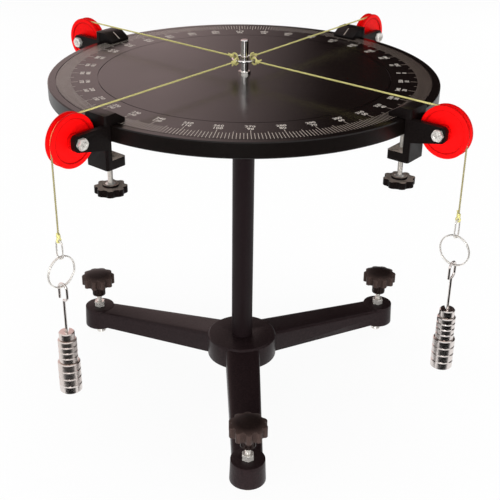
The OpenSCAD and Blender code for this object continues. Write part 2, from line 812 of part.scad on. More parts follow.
// A cord from the pull ring over the pulley to its lower end, at a given height
module cord_run(end_z) {
    start_x = ring_d / 2 + ring_loop_r;
    translate([ring_d / 2, 0, cord_z]) cord_loop(ring_loop_r);
    translate([start_x + knot_d / 2, 0, cord_z]) sphere(d = knot_d);
    translate([start_x + knot_d / 2, 0, cord_z]) rotate([0, 90, 0])
        cylinder(d = cord_d, h = axle_r - start_x - knot_d / 2);
    translate([axle_r, 0, axle_z]) rotate([90, 0, 0]) wire_arc(2 * lay_r, cord_d, 90);
    translate([cord_x, 0, end_z]) cylinder(d = cord_d, h = axle_z - end_z);
    translate([cord_x, 0, end_z]) sphere(d = knot_d);
}

module cord(place) {
    loop_r = is_loaded(place) ? link_loop_r : end_loop_d / 2;
    end_z = (is_loaded(place) ? link_z(place) : axle_z - drop_back - loop_r) + loop_r + knot_d / 2;
    color([0.72, 0.66, 0.36]) at_clamp(place) {
        cord_run(end_z);
        translate([cord_x, 0, end_z - knot_d / 2 - loop_r]) cord_loop(loop_r);
    }
}

// An oval link that stands square to the cord's loop
module cord_link(place) {
    color([0.8, 0.8, 0.82]) at_link(place) rotate([90, 0, 90]) {
        for (top = [0, 1]) {
            translate([0, -link_w / 2 - (1 - top) * link_side, 0]) rotate(180 * (1 - top))
                wire_arc(link_w, link_wire, 180);
        }
        for (side = [-1, 1]) {
            translate([side * link_w / 2, -link_w / 2, 0]) rotate([90, 0, 0])
                cylinder(d = link_wire, h = link_side, $fn = 32);
        }
    }
}

// Two turns of wire that lie side by side
module split_ring(place) {
    color([0.8, 0.8, 0.82]) at_link(place) translate([0, 0, split_mid]) rotate([90, 0, 0])
        rotate_extrude() for (side = [-1, 1]) {
            translate([split_d / 2, side * split_pitch / 2]) circle(d = split_wire, $fn = 32);
        }
}

// A hook, a rod and a round base that carries the slotted weights
module weight_hanger(place) {
    color([0.82, 0.82, 0.84]) at_link(place) {
        translate([0, 0, hook_mid]) rotate([90, 0, 90]) {
            wire_arc(hook_d, rod_d, 180);
            translate([hook_d / 2, 0, 0]) rotate([90, 0, 0]) cylinder(d = rod_d, h = hook_side, $fn = 32);
            translate([0, -hook_side, 0]) rotate(-90) wire_arc(hook_d, rod_d, 90);
            translate([-hook_d / 2, 0, 0]) rotate([90, 0, 0]) cylinder(d = rod_d, h = hook_tip, $fn = 32);
            translate([-hook_d / 2, -hook_tip, 0]) sphere(d = rod_d, $fn = 32);
        }
        translate([0, 0, rod_top]) sphere(d = rod_d, $fn = 32);
        translate([0, 0, base_top - 1]) cylinder(d = rod_d, h = rod_top - base_top + 1, $fn = 32);
        translate([0, 0, base_bottom]) weight_blank(large_d, large_h);
    }
}

// A round weight with chamfered edges
module weight_blank(d, height) {
    rotate_extrude() polygon([
        [0, 0], [d / 2 - weight_edge, 0], [d / 2, weight_edge], [d / 2, height - weight_edge],
        [d / 2 - weight_edge, height], [0, height]]);
}

// A weight with a slot from its middle out to the back, a hair clear of what it stands on
module slotted_weight(d, height) {
    difference() {
        translate([0, 0, weight_gap]) weight_blank(d, height - weight_gap);
        translate([0, 0, -1]) cylinder(d = slot_w, h = height + 2);
        translate([-slot_w / 2, 0, -1]) cube([slot_w, d, height + 2]);
    }
}

module large_weights(place) {
    color([0.78, 0.77, 0.77]) at_stack(place) for (i = [0 : large_n - 1]) {
        translate([0, 0, base_top + i * large_h]) slotted_weight(large_d, large_h);
    }
}

module small_weights(place) {
    color([0.78, 0.77, 0.77]) at_stack(place) {
        for (i = [0 : middle_n - 1]) {
            translate([0, 0, large_top + i * middle_h]) slotted_weight(middle_d, middle_h);
        }
        translate([0, 0, middle_top]) slotted_weight(small_d, small_h);
    }
}

// Every piece of the force table

tripod_base();
column();
column_bolt();
table_flange();
flange_screws();
table_disc();
lock_nuts();
centre_pin();
pull_ring();

for (leg = LEGS) {
    levelling_knob(leg);
    levelling_screw(leg);
    levelling_foot(leg);
}

for (place = CLAMPS) {
    clamp_frame(place);
    axle_bolt(place);
    axle_nut_set(place);
    pulley(place);
    clamp_pad(place);
    clamp_screw(place);
    clamp_knob(place);
    cord(place);
}

for (place = LOADED) {
    cord_link(place);
    split_ring(place);
    weight_hanger(place);
    large_weights(place);
    small_weights(place);
}
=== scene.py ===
# %% [markdown]
# # A force table
#
# A force table is a round table with a degree scale. Cords pull on a ring at its centre, run over
# pulleys that are clamped to the rim, and carry slotted weights. When the pulls balance, the ring
# stays clear of the pin.
#
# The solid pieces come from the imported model, which is loaded as a fixed frame. This lesson gives
# them their finishes and adds what a drawing leaves out: the scale, twisted cord, threads, the wound
# split rings and the soft edges of castings and mouldings.

# %% Load the frame
import json
import math

import bpy
from mathutils import Matrix, Vector


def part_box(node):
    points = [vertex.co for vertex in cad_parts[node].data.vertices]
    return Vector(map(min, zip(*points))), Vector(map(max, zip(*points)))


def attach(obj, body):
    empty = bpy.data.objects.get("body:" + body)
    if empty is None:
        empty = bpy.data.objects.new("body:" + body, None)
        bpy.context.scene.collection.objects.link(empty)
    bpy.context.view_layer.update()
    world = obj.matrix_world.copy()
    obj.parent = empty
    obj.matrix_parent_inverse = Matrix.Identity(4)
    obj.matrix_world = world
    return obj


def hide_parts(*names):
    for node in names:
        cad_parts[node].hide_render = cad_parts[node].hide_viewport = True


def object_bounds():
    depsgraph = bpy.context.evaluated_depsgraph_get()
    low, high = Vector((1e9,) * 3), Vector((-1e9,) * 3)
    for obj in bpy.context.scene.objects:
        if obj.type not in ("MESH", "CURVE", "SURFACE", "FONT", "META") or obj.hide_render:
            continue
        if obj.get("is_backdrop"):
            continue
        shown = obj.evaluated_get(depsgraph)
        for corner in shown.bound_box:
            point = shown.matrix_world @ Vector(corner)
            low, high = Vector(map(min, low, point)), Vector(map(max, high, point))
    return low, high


MM = 0.001
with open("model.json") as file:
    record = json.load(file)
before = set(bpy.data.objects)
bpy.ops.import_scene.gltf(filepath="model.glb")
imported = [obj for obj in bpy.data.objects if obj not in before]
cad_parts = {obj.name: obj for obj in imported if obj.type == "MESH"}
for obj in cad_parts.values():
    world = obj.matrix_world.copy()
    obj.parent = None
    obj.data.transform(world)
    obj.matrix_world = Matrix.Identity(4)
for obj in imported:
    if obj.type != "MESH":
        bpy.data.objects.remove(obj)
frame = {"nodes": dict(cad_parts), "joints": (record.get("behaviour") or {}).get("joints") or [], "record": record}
nodes = frame["nodes"]
joints = {joint["name"]: joint for joint in frame["joints"]}
cad_low, cad_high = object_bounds()
print("pieces in the frame:", len(nodes), "box:", tuple(cad_low), tuple(cad_high))

# %% [markdown]
# The places round the table are read from the joints, so nothing here is fitted by eye. A clamp's
# place is the direction of its pulley's axle, and a levelling screw's place is its turning axis.

# %% Find the places round the table
CLAMPS = ["back_right", "back_left", "front_left", "front_right"]
LOADED = ["front_left", "front_right"]
LEGS = ["right", "left", "front"]

axle_at = {place: Vector(joints[f"pulley_{place}_spin"]["pos_m"]) for place in CLAMPS}
clamp_turn = {place: math.atan2(axle_at[place].y, axle_at[place].x) for place in CLAMPS}
leg_at = {leg: Vector(joints[f"levelling_{leg}_turn"]["pos_m"]) for leg in LEGS}
screw_at = {place: Vector(joints[f"clamp_screw_{place}_turn"]["pos_m"]) for place in CLAMPS}
for place in CLAMPS:
    print(place, round(math.degrees(clamp_turn[place]), 1), "degrees")

# %% [markdown]
# ## Camera
#
# The camera stands in front of the table, a little above its top, and looks down at it. Its axes are
# built from a heading, a tilt and a small roll, because a camera held by hand is never quite level.

# %% Set the camera
CAMERA_AT = Vector((-0.0346, -0.9898, 0.3022))
HEADING = math.radians(2.48)
TILT = math.radians(27.13)
ROLL = math.radians(-0.77)
LENS_MM = 71.06
SENSOR_MM = 36

forward = Vector((
    math.sin(HEADING) * math.cos(TILT), math.cos(HEADING) * math.cos(TILT), -math.sin(TILT)))
level_right = Vector((math.cos(HEADING), -math.sin(HEADING), 0))
level_down = forward.cross(level_right)
right = math.cos(ROLL) * level_right + math.sin(ROLL) * level_down
down = math.cos(ROLL) * level_down - math.sin(ROLL) * level_right

bpy.ops.object.camera_add()
camera = bpy.context.object
camera.data.lens = LENS_MM
camera.data.sensor_width = SENSOR_MM
turned = Matrix((right, -down, -forward)).transposed()
camera.matrix_world = Matrix.Translation(CAMERA_AT) @ turned.to_4x4()
bpy.context.scene.camera = camera
print("camera at", tuple(CAMERA_AT), "lens", LENS_MM, "mm")

# %% [markdown]
# ## Cords
#
# Each cord leaves the pull ring, runs level to its pulley, turns a quarter round it and drops. It is
# pulled taut, so its route is two straight lines and an arc in the clamp's own upright plane.

# %% Lay out the cord routes
CORD_D = 1.8 * MM
LAY_R = 22 * MM
RING_R = 12 * MM
RING_LOOP_R = 2.45 * MM
LINK_LOOP_R = 2 * MM
LINK_WIRE_R = 0.8 * MM
KNOT_R = 2.25 * MM
BACK_LOOP_R = 7 * MM
ROUTE_STEP = 0.5 * MM


def in_clamp_plane(place, out, side, up):
    """A point given by its distance out from the axis, its distance to the side and its height."""
    turn = clamp_turn[place]
    return Vector((
        out * math.cos(turn) - side * math.sin(turn), out * math.sin(turn) + side * math.cos(turn), up))


def spread_over(start, end, step):
    """Values from start to end, about a step apart."""
    count = max(2, math.ceil(abs(end - start) / step))
    return [start + (end - start) * i / count for i in range(count + 1)]


def cord_route(place, end_up):
    """The route as (out, up, heading) from the knot at the ring to the knot at the lower end."""
    axle = axle_at[place]
    axle_out = math.hypot(axle.x, axle.y)
    level = axle.z + LAY_R
    start_out = RING_R + RING_LOOP_R + KNOT_R
    route = [(out, level, 0.0) for out in spread_over(start_out, axle_out, ROUTE_STEP)]
    for angle in spread_over(0, math.pi / 2, ROUTE_STEP / LAY_R)[1:]:
        route.append((axle_out + LAY_R * math.sin(angle), axle.z + LAY_R * math.cos(angle), angle))
    for up in spread_over(axle.z, end_up, ROUTE_STEP)[1:]:
        route.append((axle_out + LAY_R, up, math.pi / 2))
    return route


def lower_end(place):
    """The height of the lower knot, and the radius of the loop tied below it."""
    if place in LOADED:
        link_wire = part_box(f"cord_link_{place}")[1].z - LINK_WIRE_R
        return link_wire + LINK_LOOP_R + KNOT_R, LINK_LOOP_R
    loop_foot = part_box(f"cord_{place}")[0].z + CORD_D / 2
    return loop_foot + 2 * BACK_LOOP_R + KNOT_R, BACK_LOOP_R


for place in CLAMPS:
    print("lower knot of", place, "at", round(lower_end(place)[0], 4), "m")

# %% [markdown]
# A real cord is laid from strands, and three thin tubes that wind round the route show that from
# close by, where one smooth tube would look like wire. A curve with a round bevel draws the tubes, and
# it is turned into a mesh at once, so that pieces can be joined later.

# %% Wind the strands of a cord
STRANDS = 3
STRAND_R = CORD_D / 2 / (1 + 2 / math.sqrt(3))
STRAND_OFFSET = CORD_D / 2 - STRAND_R
CORD_LAY = 6 * MM


def clear_selection():
    bpy.ops.object.select_all(action="DESELECT")


def make_active(piece):
    clear_selection()
    piece.select_set(True)
    bpy.context.view_layer.objects.active = piece


def tubes(name, paths, radius, roundness=1, closed=False):
    """Round tubes along lists of points, as one mesh."""
    curve = bpy.data.curves.new(name, "CURVE")
    curve.dimensions = "3D"
    curve.bevel_depth = radius
    curve.bevel_resolution = roundness
    curve.use_fill_caps = not closed
    for path in paths:
        spline = curve.splines.new("POLY")
        spline.points.add(len(path) - 1)
        spline.use_cyclic_u = closed
        for point, spot in zip(spline.points, path):
            point.co = (*spot, 1)
    piece = bpy.data.objects.new(name, curve)
    bpy.context.scene.collection.objects.link(piece)
    make_active(piece)
    bpy.ops.object.convert(target="MESH")
    return piece


def twisted_paths(centres, normals, side):
    """The paths of strands that wind round a line of centres in one plane."""
    along = 0.0
    paths = [[] for _ in range(STRANDS)]
    for i, centre in enumerate(centres):
        if i:
            along += (centre - centres[i - 1]).length
        for strand, path in enumerate(paths):
            turn = 2 * math.pi * (along / CORD_LAY + strand / STRANDS)
            path.append(centre + STRAND_OFFSET * (math.cos(turn) * normals[i] + math.sin(turn) * side))
    return paths


def make_cord(place):
    end_up, _ = lower_end(place)
    route = cord_route(place, end_up)
    centres = [in_clamp_plane(place, out, 0, up) for out, up, _ in route]
    normals = [in_clamp_plane(place, math.sin(heading), 0, math.cos(heading)) for _, _, heading in route]
    paths = twisted_paths(centres, normals, in_clamp_plane(place, 0, 1, 0))
    return tubes(f"cord_run_{place}", paths, STRAND_R), centres


def length_of(line):
    return sum((b - a).length for a, b in zip(line, line[1:]))


cords = {}
cord_lines = {}
for place in CLAMPS:
    cords[place], cord_lines[place] = make_cord(place)
    length = length_of(cord_lines[place])
    print("cord", place, round(length, 3), "m,", len(cords[place].data.polygons), "faces")

# %% [markdown]
# Each end of a cord is tied back on itself: a loop goes round the ring or the link, three wraps hold
# it, and a short tail is left over. A knot is too small to show how the cord is laid, so plain tubes
# will do. They are a piece of their own, because the cord's length is counted from knot to knot.

# %% Tie the knots
WRAPS = 3
WRAP_PITCH = 1.3 * MM
WRAP_R = 1.25 * MM
WRAP_WIRE_R = 0.75 * MM
TAIL = 4 * MM
RING_BIGHT_R = 3.3 * MM
KNOT_ROUND = 2
LOOP_POINTS = 40
WRAP_POINTS = 16
TAIL_POINTS = 8
DRAWN_IN = 0.16
DRAWN_NEAR = 6
TAIL_STARTS = 0.3
TAIL_ASIDE = (0.15, 0.5)
TAIL_CURL = 1.4
TAIL_SPLAY = 0.35


def joined(name, pieces):
    make_active(pieces[0])
    for piece in pieces[1:]:
        piece.select_set(True)
    bpy.ops.object.join()
    pieces[0].name = name
    return pieces[0]


def tied_end(name, place, knot, heading, loop_centre, loop_r, tail_side):
    """A loop round loop_centre and wraps along heading at the knot; points are (out, up)."""
    ahead = Vector((heading[0], 0, heading[1]))
    across = Vector((-heading[1], 0, heading[0]))

    def at(middle, onward, aside, side):
        spot = ahead * onward + across * aside
        return in_clamp_plane(place, middle[0] + spot.x, side, middle[1] + spot.z)

    ring = []
    for i in range(LOOP_POINTS):
        angle = 2 * math.pi * i / LOOP_POINTS
        drawn = loop_r * (1 + DRAWN_IN * max(0, math.cos(angle)) ** DRAWN_NEAR)
        ring.append(at(loop_centre, drawn * math.cos(angle), loop_r * math.sin(angle), 0))
    wraps = []
    for i in range(WRAPS * WRAP_POINTS + 1):
        turns = i / WRAP_POINTS
        angle = 2 * math.pi * turns
        run = WRAP_PITCH * (turns - WRAPS / 2)
        wraps.append(at(knot, run, WRAP_R * math.cos(angle), WRAP_R * math.sin(angle)))
    tail = []
    for i in range(TAIL_POINTS + 1):
        share = i / TAIL_POINTS
        onward = TAIL * (TAIL_STARTS + (1 - TAIL_STARTS) * share)
        aside = TAIL * tail_side * (TAIL_ASIDE[0] + TAIL_ASIDE[1] * share ** TAIL_CURL)
        tail.append(at(knot, onward, aside, TAIL * TAIL_SPLAY * share))
    loop = tubes(f"{name}_loop", [ring], CORD_D / 2, KNOT_ROUND, closed=True)
    return joined(name, [tubes(f"{name}_wraps", [wraps, tail], WRAP_WIRE_R, KNOT_ROUND), loop])


knots = {}
for number, place in enumerate(CLAMPS):
    axle = axle_at[place]
    level = axle.z + LAY_R
    end_up, loop_r = lower_end(place)
    drop_out = math.hypot(axle.x, axle.y) + LAY_R
    tail_side = 1 if number % 2 else -1
    at_ring = tied_end(
        f"ring_knot_{place}", place, (RING_R + RING_LOOP_R + KNOT_R, level), (1, 0),
        (RING_R + RING_BIGHT_R - RING_LOOP_R, level), RING_BIGHT_R, tail_side)
    at_end = tied_end(
        f"end_knot_{place}", place, (drop_out, end_up), (0, 1),
        (drop_out, end_up - KNOT_R - loop_r), loop_r, tail_side)
    knots[place] = [at_ring, at_end]
    print("knots of", place, [len(piece.data.polygons) for piece in knots[place]], "faces")

# %% [markdown]
# The cords and their knots ride on their clamps, because the run over the pulley goes round the table with the
# clamp. The frame's plain cords are hidden.

for place in CLAMPS:
    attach(cords[place], f"clamp_{place}")
    for piece in knots[place]:
        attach(piece, f"clamp_{place}")
    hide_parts(f"cord_{place}")
print("declared", len(CLAMPS), "cords")

# %% [markdown]
# ## Stage
#
# The sky looks white, but lights the table only softly: a Light Path node tells the rays that look at
# it, directly or in a mirror, from the ones that carry light. That way a white background takes nothing
# from the black of the table.
#
# The sky and the materials are graphs of nodes. One helper adds a node together with its settings and
# values, so that what is left to read is how the nodes are linked.

# %% Light the sky
SKY_LEVEL = 0.2
WHITE = (1, 1, 1, 1)


def add_node(tree, kind, values=None, **settings):
    """A new node, with settings such as its operation and values on its inputs."""
    node = tree.nodes.new(kind)
    for setting, value in settings.items():
        setattr(node, setting, value)
    for socket, value in (values or {}).items():
        node.inputs[socket].default_value = value
    return node


def seen_directly(tree):
    """A value that is 1 for what the camera, a mirror or glass sees, and 0 for lighting."""
    path = add_node(tree, "ShaderNodeLightPath")
    seen = path.outputs["Is Camera Ray"]
    for ray in ("Is Glossy Ray", "Is Transmission Ray"):
        either = add_node(tree, "ShaderNodeMath", operation="MAXIMUM")
        tree.links.new(seen, either.inputs[0])
        tree.links.new(path.outputs[ray], either.inputs[1])
        seen = either.outputs[0]
    return seen


def show_apart(tree, out, lit, shown, share):
    """Light meets one shader, and a share of the rays that look directly meets another."""
    mix = add_node(tree, "ShaderNodeMixShader")
    tree.links.new(share, mix.inputs["Fac"])
    tree.links.new(lit.outputs[0], mix.inputs[1])
    tree.links.new(shown.outputs[0], mix.inputs[2])
    tree.links.new(mix.outputs[0], out.inputs["Surface"])


def light_sky():
    world = bpy.data.worlds.new("studio")
    world.use_nodes = True
    bpy.context.scene.world = world
    tree = world.node_tree
    tree.nodes.clear()
    out = add_node(tree, "ShaderNodeOutputWorld")
    light = add_node(tree, "ShaderNodeBackground", {"Color": WHITE, "Strength": SKY_LEVEL})
    shown = add_node(tree, "ShaderNodeBackground", {"Color": WHITE})
    show_apart(tree, out, light, shown, seen_directly(tree))


light_sky()
print("sky strength", SKY_LEVEL)

# %% [markdown]
# The floor is a large pale plane, and shows nearly white in the same way. A small share of what is seen
# stays plain paper, which keeps the table's shadow.

# %% Lay the floor
FLOOR_HALF = 6.0
FLOOR_PAPER = (0.9, 0.9, 0.9, 1)
FLOOR_SHOW = 0.94


def bare_material(name):
    """A material that has only its output node yet."""
    material = bpy.data.materials.new(name)
    material.use_nodes = True
    tree = material.node_tree
    tree.nodes.clear()
    return material, tree, add_node(tree, "ShaderNodeOutputMaterial")


def scaled(tree, value, amount):
    """A value times a fixed amount."""
    product = add_node(tree, "ShaderNodeMath", {1: amount}, operation="MULTIPLY")
    tree.links.new(value, product.inputs[0])
    return product.outputs[0]


def floor_finish():
    material, tree, out = bare_material("floor_white")
    paper = add_node(tree, "ShaderNodeBsdfDiffuse", {"Color": FLOOR_PAPER})
    glow = add_node(tree, "ShaderNodeEmission")
    show_apart(tree, out, paper, glow, scaled(tree, seen_directly(tree), FLOOR_SHOW))
    return material


clear_selection()
bpy.ops.mesh.primitive_plane_add(size=2 * FLOOR_HALF, location=(0, 0, cad_low.z))
floor = bpy.context.object
floor.name = "floor"
floor.data.materials.append(floor_finish())
floor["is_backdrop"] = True
bpy.context.scene.view_settings.view_transform = "Standard"
print("floor at", cad_low.z, "m")

# %% [markdown]
# The lamps stand round the table: a key lamp near the camera, one on each side of it, a small one low
# in front for the legs, a broad one overhead, and two behind for the far sides. Only the key lamp is
# mirrored in polished metal, because seven bright squares would clutter every weight.

# %% Set the lamps
LAMP_AIM = Vector((0, 0, -0.1))
LAMPS = [
    ("key_lamp", (-0.3, -2.1, 0.5), 0.7, 15, True),
    ("left_lamp", (-1.3, -1.6, 0.12), 1.0, 19, False),
    ("right_lamp", (1.35, -1.55, 0.1), 1.0, 17, False),
    ("low_lamp", (-0.05, -0.8, -0.3), 0.3, 2.6, False),
    ("top_lamp", (0, 0.1, 1.4), 0.8, 12, False),
    ("back_left_lamp", (-1.5, 1.5, 0.35), 1.0, 18, False),
    ("back_right_lamp", (1.5, 1.5, 0.35), 1.0, 18, False),
]

for name, spot, size, power, mirrored in LAMPS:
    bpy.ops.object.light_add(type="AREA", location=spot)
    lamp = bpy.context.object
    lamp.name = name
    lamp.data.size = size
    lamp.data.energy = power
    lamp.visible_glossy = mirrored
    lamp.visible_camera = False
    lamp.rotation_euler = (LAMP_AIM - Vector(spot)).to_track_quat("-Z", "Y").to_euler()
print("lamps:", len(LAMPS))

# %% [markdown]
# Four cards stand where only reflections find them, as a photographer sets flags so that black paint
# stays black and chrome has something dark to mirror. The one at the back fades from warm white to near
# black, and the table's top mirrors that as a soft change of grey.

# %% Stand the cards
CARD_BLACK = (0.004, 0.004, 0.004)
CARD_DARK = (0.024, 0.015, 0.014)
CARD_WARM = (0.98, 0.75, 0.73)
CARDS = [
    ("front_card", (0, -2.7, 0.6), (3.2, 2.0), (90, 0, 0), CARD_BLACK, CARD_BLACK),
    ("floor_card", (0, -1.5, cad_low.z + MM), (4.4, 2.4), (0, 0, 0), CARD_BLACK, CARD_BLACK),
    ("right_card", (2.6, -0.2, 0.5), (4.0, 1.8), (90, 0, 90), CARD_DARK, CARD_DARK),
    ("back_card", (0, 1.9, 1.4), (8.0, 3.6), (90, 0, 0), CARD_WARM, CARD_DARK),
]
CARD_FADE = (-0.022, 0.037)


def stretched(tree, source, low, high):
    """The source's values between low and high, spread out from 0 to 1."""
    spread = add_node(tree, "ShaderNodeMapRange", {"From Min": low, "From Max": high})
    tree.links.new(source, spread.inputs["Value"])
    return spread.outputs["Result"]


def card_paint(name, left, right):
    """A glow that fades from one colour to another across the middle of a card."""
    material, tree, out = bare_material(name)
    glow = add_node(tree, "ShaderNodeEmission")
    place = add_node(tree, "ShaderNodeTexCoord")
    axes = add_node(tree, "ShaderNodeSeparateXYZ")
    blend = add_node(tree, "ShaderNodeMix", {"A": (*left, 1), "B": (*right, 1)}, data_type="RGBA")
    tree.links.new(place.outputs["Object"], axes.inputs[0])
    tree.links.new(stretched(tree, axes.outputs["X"], *CARD_FADE), blend.inputs["Factor"])
    tree.links.new(blend.outputs["Result"], glow.inputs["Color"])
    tree.links.new(glow.outputs[0], out.inputs["Surface"])
    return material


for name, spot, (wide, high), tilt, left_tone, right_tone in CARDS:
    clear_selection()
    bpy.ops.mesh.primitive_plane_add(size=1, location=spot, rotation=[math.radians(a) for a in tilt])
    card = bpy.context.object
    card.name = name
    card.scale = (wide, high, 1)
    card.data.materials.append(card_paint(name, left_tone, right_tone))
    card.visible_camera = False
    card.visible_diffuse = False
    card.visible_shadow = False
    card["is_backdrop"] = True
print("cards:", len(CARDS))

# %% [markdown]
# ## Finishes
#
# Real surfaces are never one flat value. Two effects are used by many finishes here, so each is a
# node group. The first is grain: fine noise that gives a height for bump and a tone for colour. The
# second is handling: broad soft patches where a surface is a little duller or shinier.

# %% Build the shared node groups
NUMBER = "NodeSocketFloat"
POINT = "NodeSocketVector"
NOISE_DETAIL = 3
GRAIN_MIDDLE = (0.3, 0.7)
PATCH_MIDDLE = (0.35, 0.65)


def new_group(name, inputs, outputs):
    """A node group with named sockets, and its two end nodes."""
    group = bpy.data.node_groups.new(name, "ShaderNodeTree")
    for socket, kind in inputs.items():
        group.interface.new_socket(socket, in_out="INPUT", socket_type=kind)
    for socket in outputs:
        group.interface.new_socket(socket, in_out="OUTPUT", socket_type=NUMBER)
    return group, group.nodes.new("NodeGroupInput"), group.nodes.new("NodeGroupOutput")


def noise_group(name, outputs):
    group, entry, leave = new_group(name, {"Scale": NUMBER}, outputs)
    place = add_node(group, "ShaderNodeTexCoord")
    noise = add_node(group, "ShaderNodeTexNoise", {"Detail": NOISE_DETAIL})
    group.links.new(place.outputs["Object"], noise.inputs["Vector"])
    group.links.new(entry.outputs["Scale"], noise.inputs["Scale"])
    return group, noise.outputs["Fac"], leave


grain, grain_noise, grain_out = noise_group("surface_grain", ["Height", "Tone"])
grain.links.new(grain_noise, grain_out.inputs["Height"])
grain.links.new(stretched(grain, grain_noise, *GRAIN_MIDDLE), grain_out.inputs["Tone"])

handling, patches, handling_out = noise_group("handled_patches", ["Dullness"])
handling.links.new(stretched(handling, patches, *PATCH_MIDDLE), handling_out.inputs["Dullness"])
print("groups:", [group.name for group in (grain, handling)])

# %% [markdown]
# Every finish is built by one function: a shader with its fixed values on its own sockets, two close
# colours mixed by grain, roughness that follows handling, and a bump of a real height. A finish is
# written as its two colours, its range of roughness, the scale of its grain, the height of its bump,
# how metallic it is and how much it mirrors. What two finishes share is written once.

# %% Make the finishes
PATCH_SIZE = 40
ZINC = ((0.62, 0.59, 0.55), (0.84, 0.81, 0.77), (0.24, 0.38), 1400, 0.00003, 0.68)
CORD = ((0.42, 0.38, 0.12), (0.72, 0.67, 0.30), (0.8, 0.95), 2200, 0.0002)
MOULDED = ((0.3, 0.42), 700, 0.00008, 0)


def finish(name, dark, light, rough, grain_scale, bump_height, metal=0, specular=0.5):
    material = bpy.data.materials.new(name)
    material.use_nodes = True
    tree = material.node_tree
    shader = tree.nodes["Principled BSDF"]
    shader.inputs["Metallic"].default_value = metal
    shader.inputs["Specular IOR Level"].default_value = specular
    fine = add_node(tree, "ShaderNodeGroup", {"Scale": grain_scale}, node_tree=grain)
    broad = add_node(tree, "ShaderNodeGroup", {"Scale": grain_scale / PATCH_SIZE}, node_tree=handling)
    colour = add_node(tree, "ShaderNodeMix", {"A": (*dark, 1), "B": (*light, 1)}, data_type="RGBA")
    dull = add_node(tree, "ShaderNodeMapRange", {"To Min": rough[0], "To Max": rough[1]})
    bump = add_node(tree, "ShaderNodeBump", {"Distance": bump_height})
    tree.links.new(fine.outputs["Tone"], colour.inputs["Factor"])
    tree.links.new(colour.outputs["Result"], shader.inputs["Base Color"])
    tree.links.new(broad.outputs["Dullness"], dull.inputs["Value"])
    tree.links.new(dull.outputs["Result"], shader.inputs["Roughness"])
    tree.links.new(fine.outputs["Height"], bump.inputs["Height"])
    tree.links.new(bump.outputs["Normal"], shader.inputs["Normal"])
    return material


finishes = {
    "table_black": finish(
        "table_black", (0.0024, 0.0015, 0.0013), (0.0042, 0.0027, 0.0023),
        (0.16, 0.24), 420, 0.00007, 0, 0.26),
    "cast_base": finish(
        "cast_black", (0.0098, 0.0055, 0.0060), (0.0185, 0.0106, 0.0115),
        (0.3, 0.4), 520, 0.00025, 0, 0.12),
    "column": finish(
        "column_black", (0.0066, 0.0038, 0.0043), (0.0115, 0.0068, 0.0077),
        (0.4, 0.5), 900, 0.00006, 0, 0.1),
    "clamp_black": finish(
        "clamp_black", (0.0034, 0.0024, 0.0023), (0.0068, 0.0049, 0.0047),
        (0.26, 0.36), 800, 0.00012, 0, 0.07),
    "clamp_knob": finish(
        "clamp_knob_black", (0.0032, 0.0021, 0.0020), (0.0064, 0.0043, 0.0041), *MOULDED, 0.07),
    # Lighter finish for knob edges: partly wear, partly painted edge highlight.
    "knob_worn_edge_highlight": finish(
        "knob_worn_edge_highlight", (0.080, 0.055, 0.049), (0.180, 0.126, 0.112), *MOULDED, 0.2),
    "chrome": finish("chrome", (0.70, 0.67, 0.65), (0.80, 0.77, 0.75), (0.10, 0.18), 900, 0.00001, 1),
    "steel": finish("zinc_plate", *ZINC),
    "weight_metal": finish(
        "nickel_plate", (0.68, 0.62, 0.59), (0.82, 0.76, 0.73), (0.18, 0.28), 1600, 0.00001, 1),
    "weight_dull": finish(
        "dull_nickel_plate", (0.62, 0.54, 0.50), (0.80, 0.73, 0.69), (0.25, 0.34), 1600, 0.00001, 1),
    "cord": finish("cord_yellow", *CORD),
    # This copy of the cord finish gets painted shade on its hanging part, further on.
    "cord_run": finish("cord_shaded_below", *CORD),
    "scale_white": finish(
        "scale_white", (0.50, 0.455, 0.41), (0.68, 0.62, 0.56), (0.5, 0.6), 900, 0.00001),
    "scale_marks": finish(
        "scale_marks", (0.38, 0.335, 0.29), (0.52, 0.46, 0.405), (0.5, 0.6), 900, 0.00001),
}
print("finishes:", sorted(finishes))

# %% [markdown]
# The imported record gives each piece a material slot. Some pieces look different from the rest of their
# slot, so they are named here with a finish of their own: fasteners are zinc, and one hanging set is
# dull. The flange's slot takes the finish of the base, because both are cast.

# %% Name the pieces that differ
finishes["flange_black"] = finishes["cast_base"]
for size in ("large", "small"):
    finishes[f"{size}_weights_front_left"] = finishes["weight_dull"]
for place in CLAMPS:
    finishes[f"clamp_knob_{place}"] = finishes["clamp_knob"]
    for fastener in ("axle_bolt", "axle_nut_set", "cord_link"):
        finishes[f"{fastener}_{place}"] = finishes["steel"]
print("named finishes:", len(finishes))

# %% [markdown]
# The table's top is polished, but its edge is as it came from the lathe and mirrors little. The
# surface's own upright direction tells the two apart.

# %% Dull the table's edge
EDGE_ROUGH = 0.36
EDGE_TO_TOP = (0.5, 0.9)


def dull_edge(material):
    tree = material.node_tree
    roughness = tree.nodes["Principled BSDF"].inputs["Roughness"]
    surface = add_node(tree, "ShaderNodeNewGeometry")
    axes = add_node(tree, "ShaderNodeSeparateXYZ")
    mix = add_node(tree, "ShaderNodeMix", {"A": EDGE_ROUGH})
    tree.links.new(surface.outputs["Normal"], axes.inputs[0])
    tree.links.new(stretched(tree, axes.outputs["Z"], *EDGE_TO_TOP), mix.inputs["Factor"])
    tree.links.new(roughness.links[0].from_socket, mix.inputs["B"])
    tree.links.new(mix.outputs["Result"], roughness)


dull_edge(finishes["table_black"])
print("edge roughness", EDGE_ROUGH)

# %% [markdown]
# The nuts are one piece of the frame. Those on the legs are zinc, and the thin one under the pin is
# chromed like the pin, so height sets how metallic and how polished the nuts are.

# %% Chrome the pin's nut
PIN_NUT_OVER = -20 * MM
PIN_NUT_ROUGH = 0.14


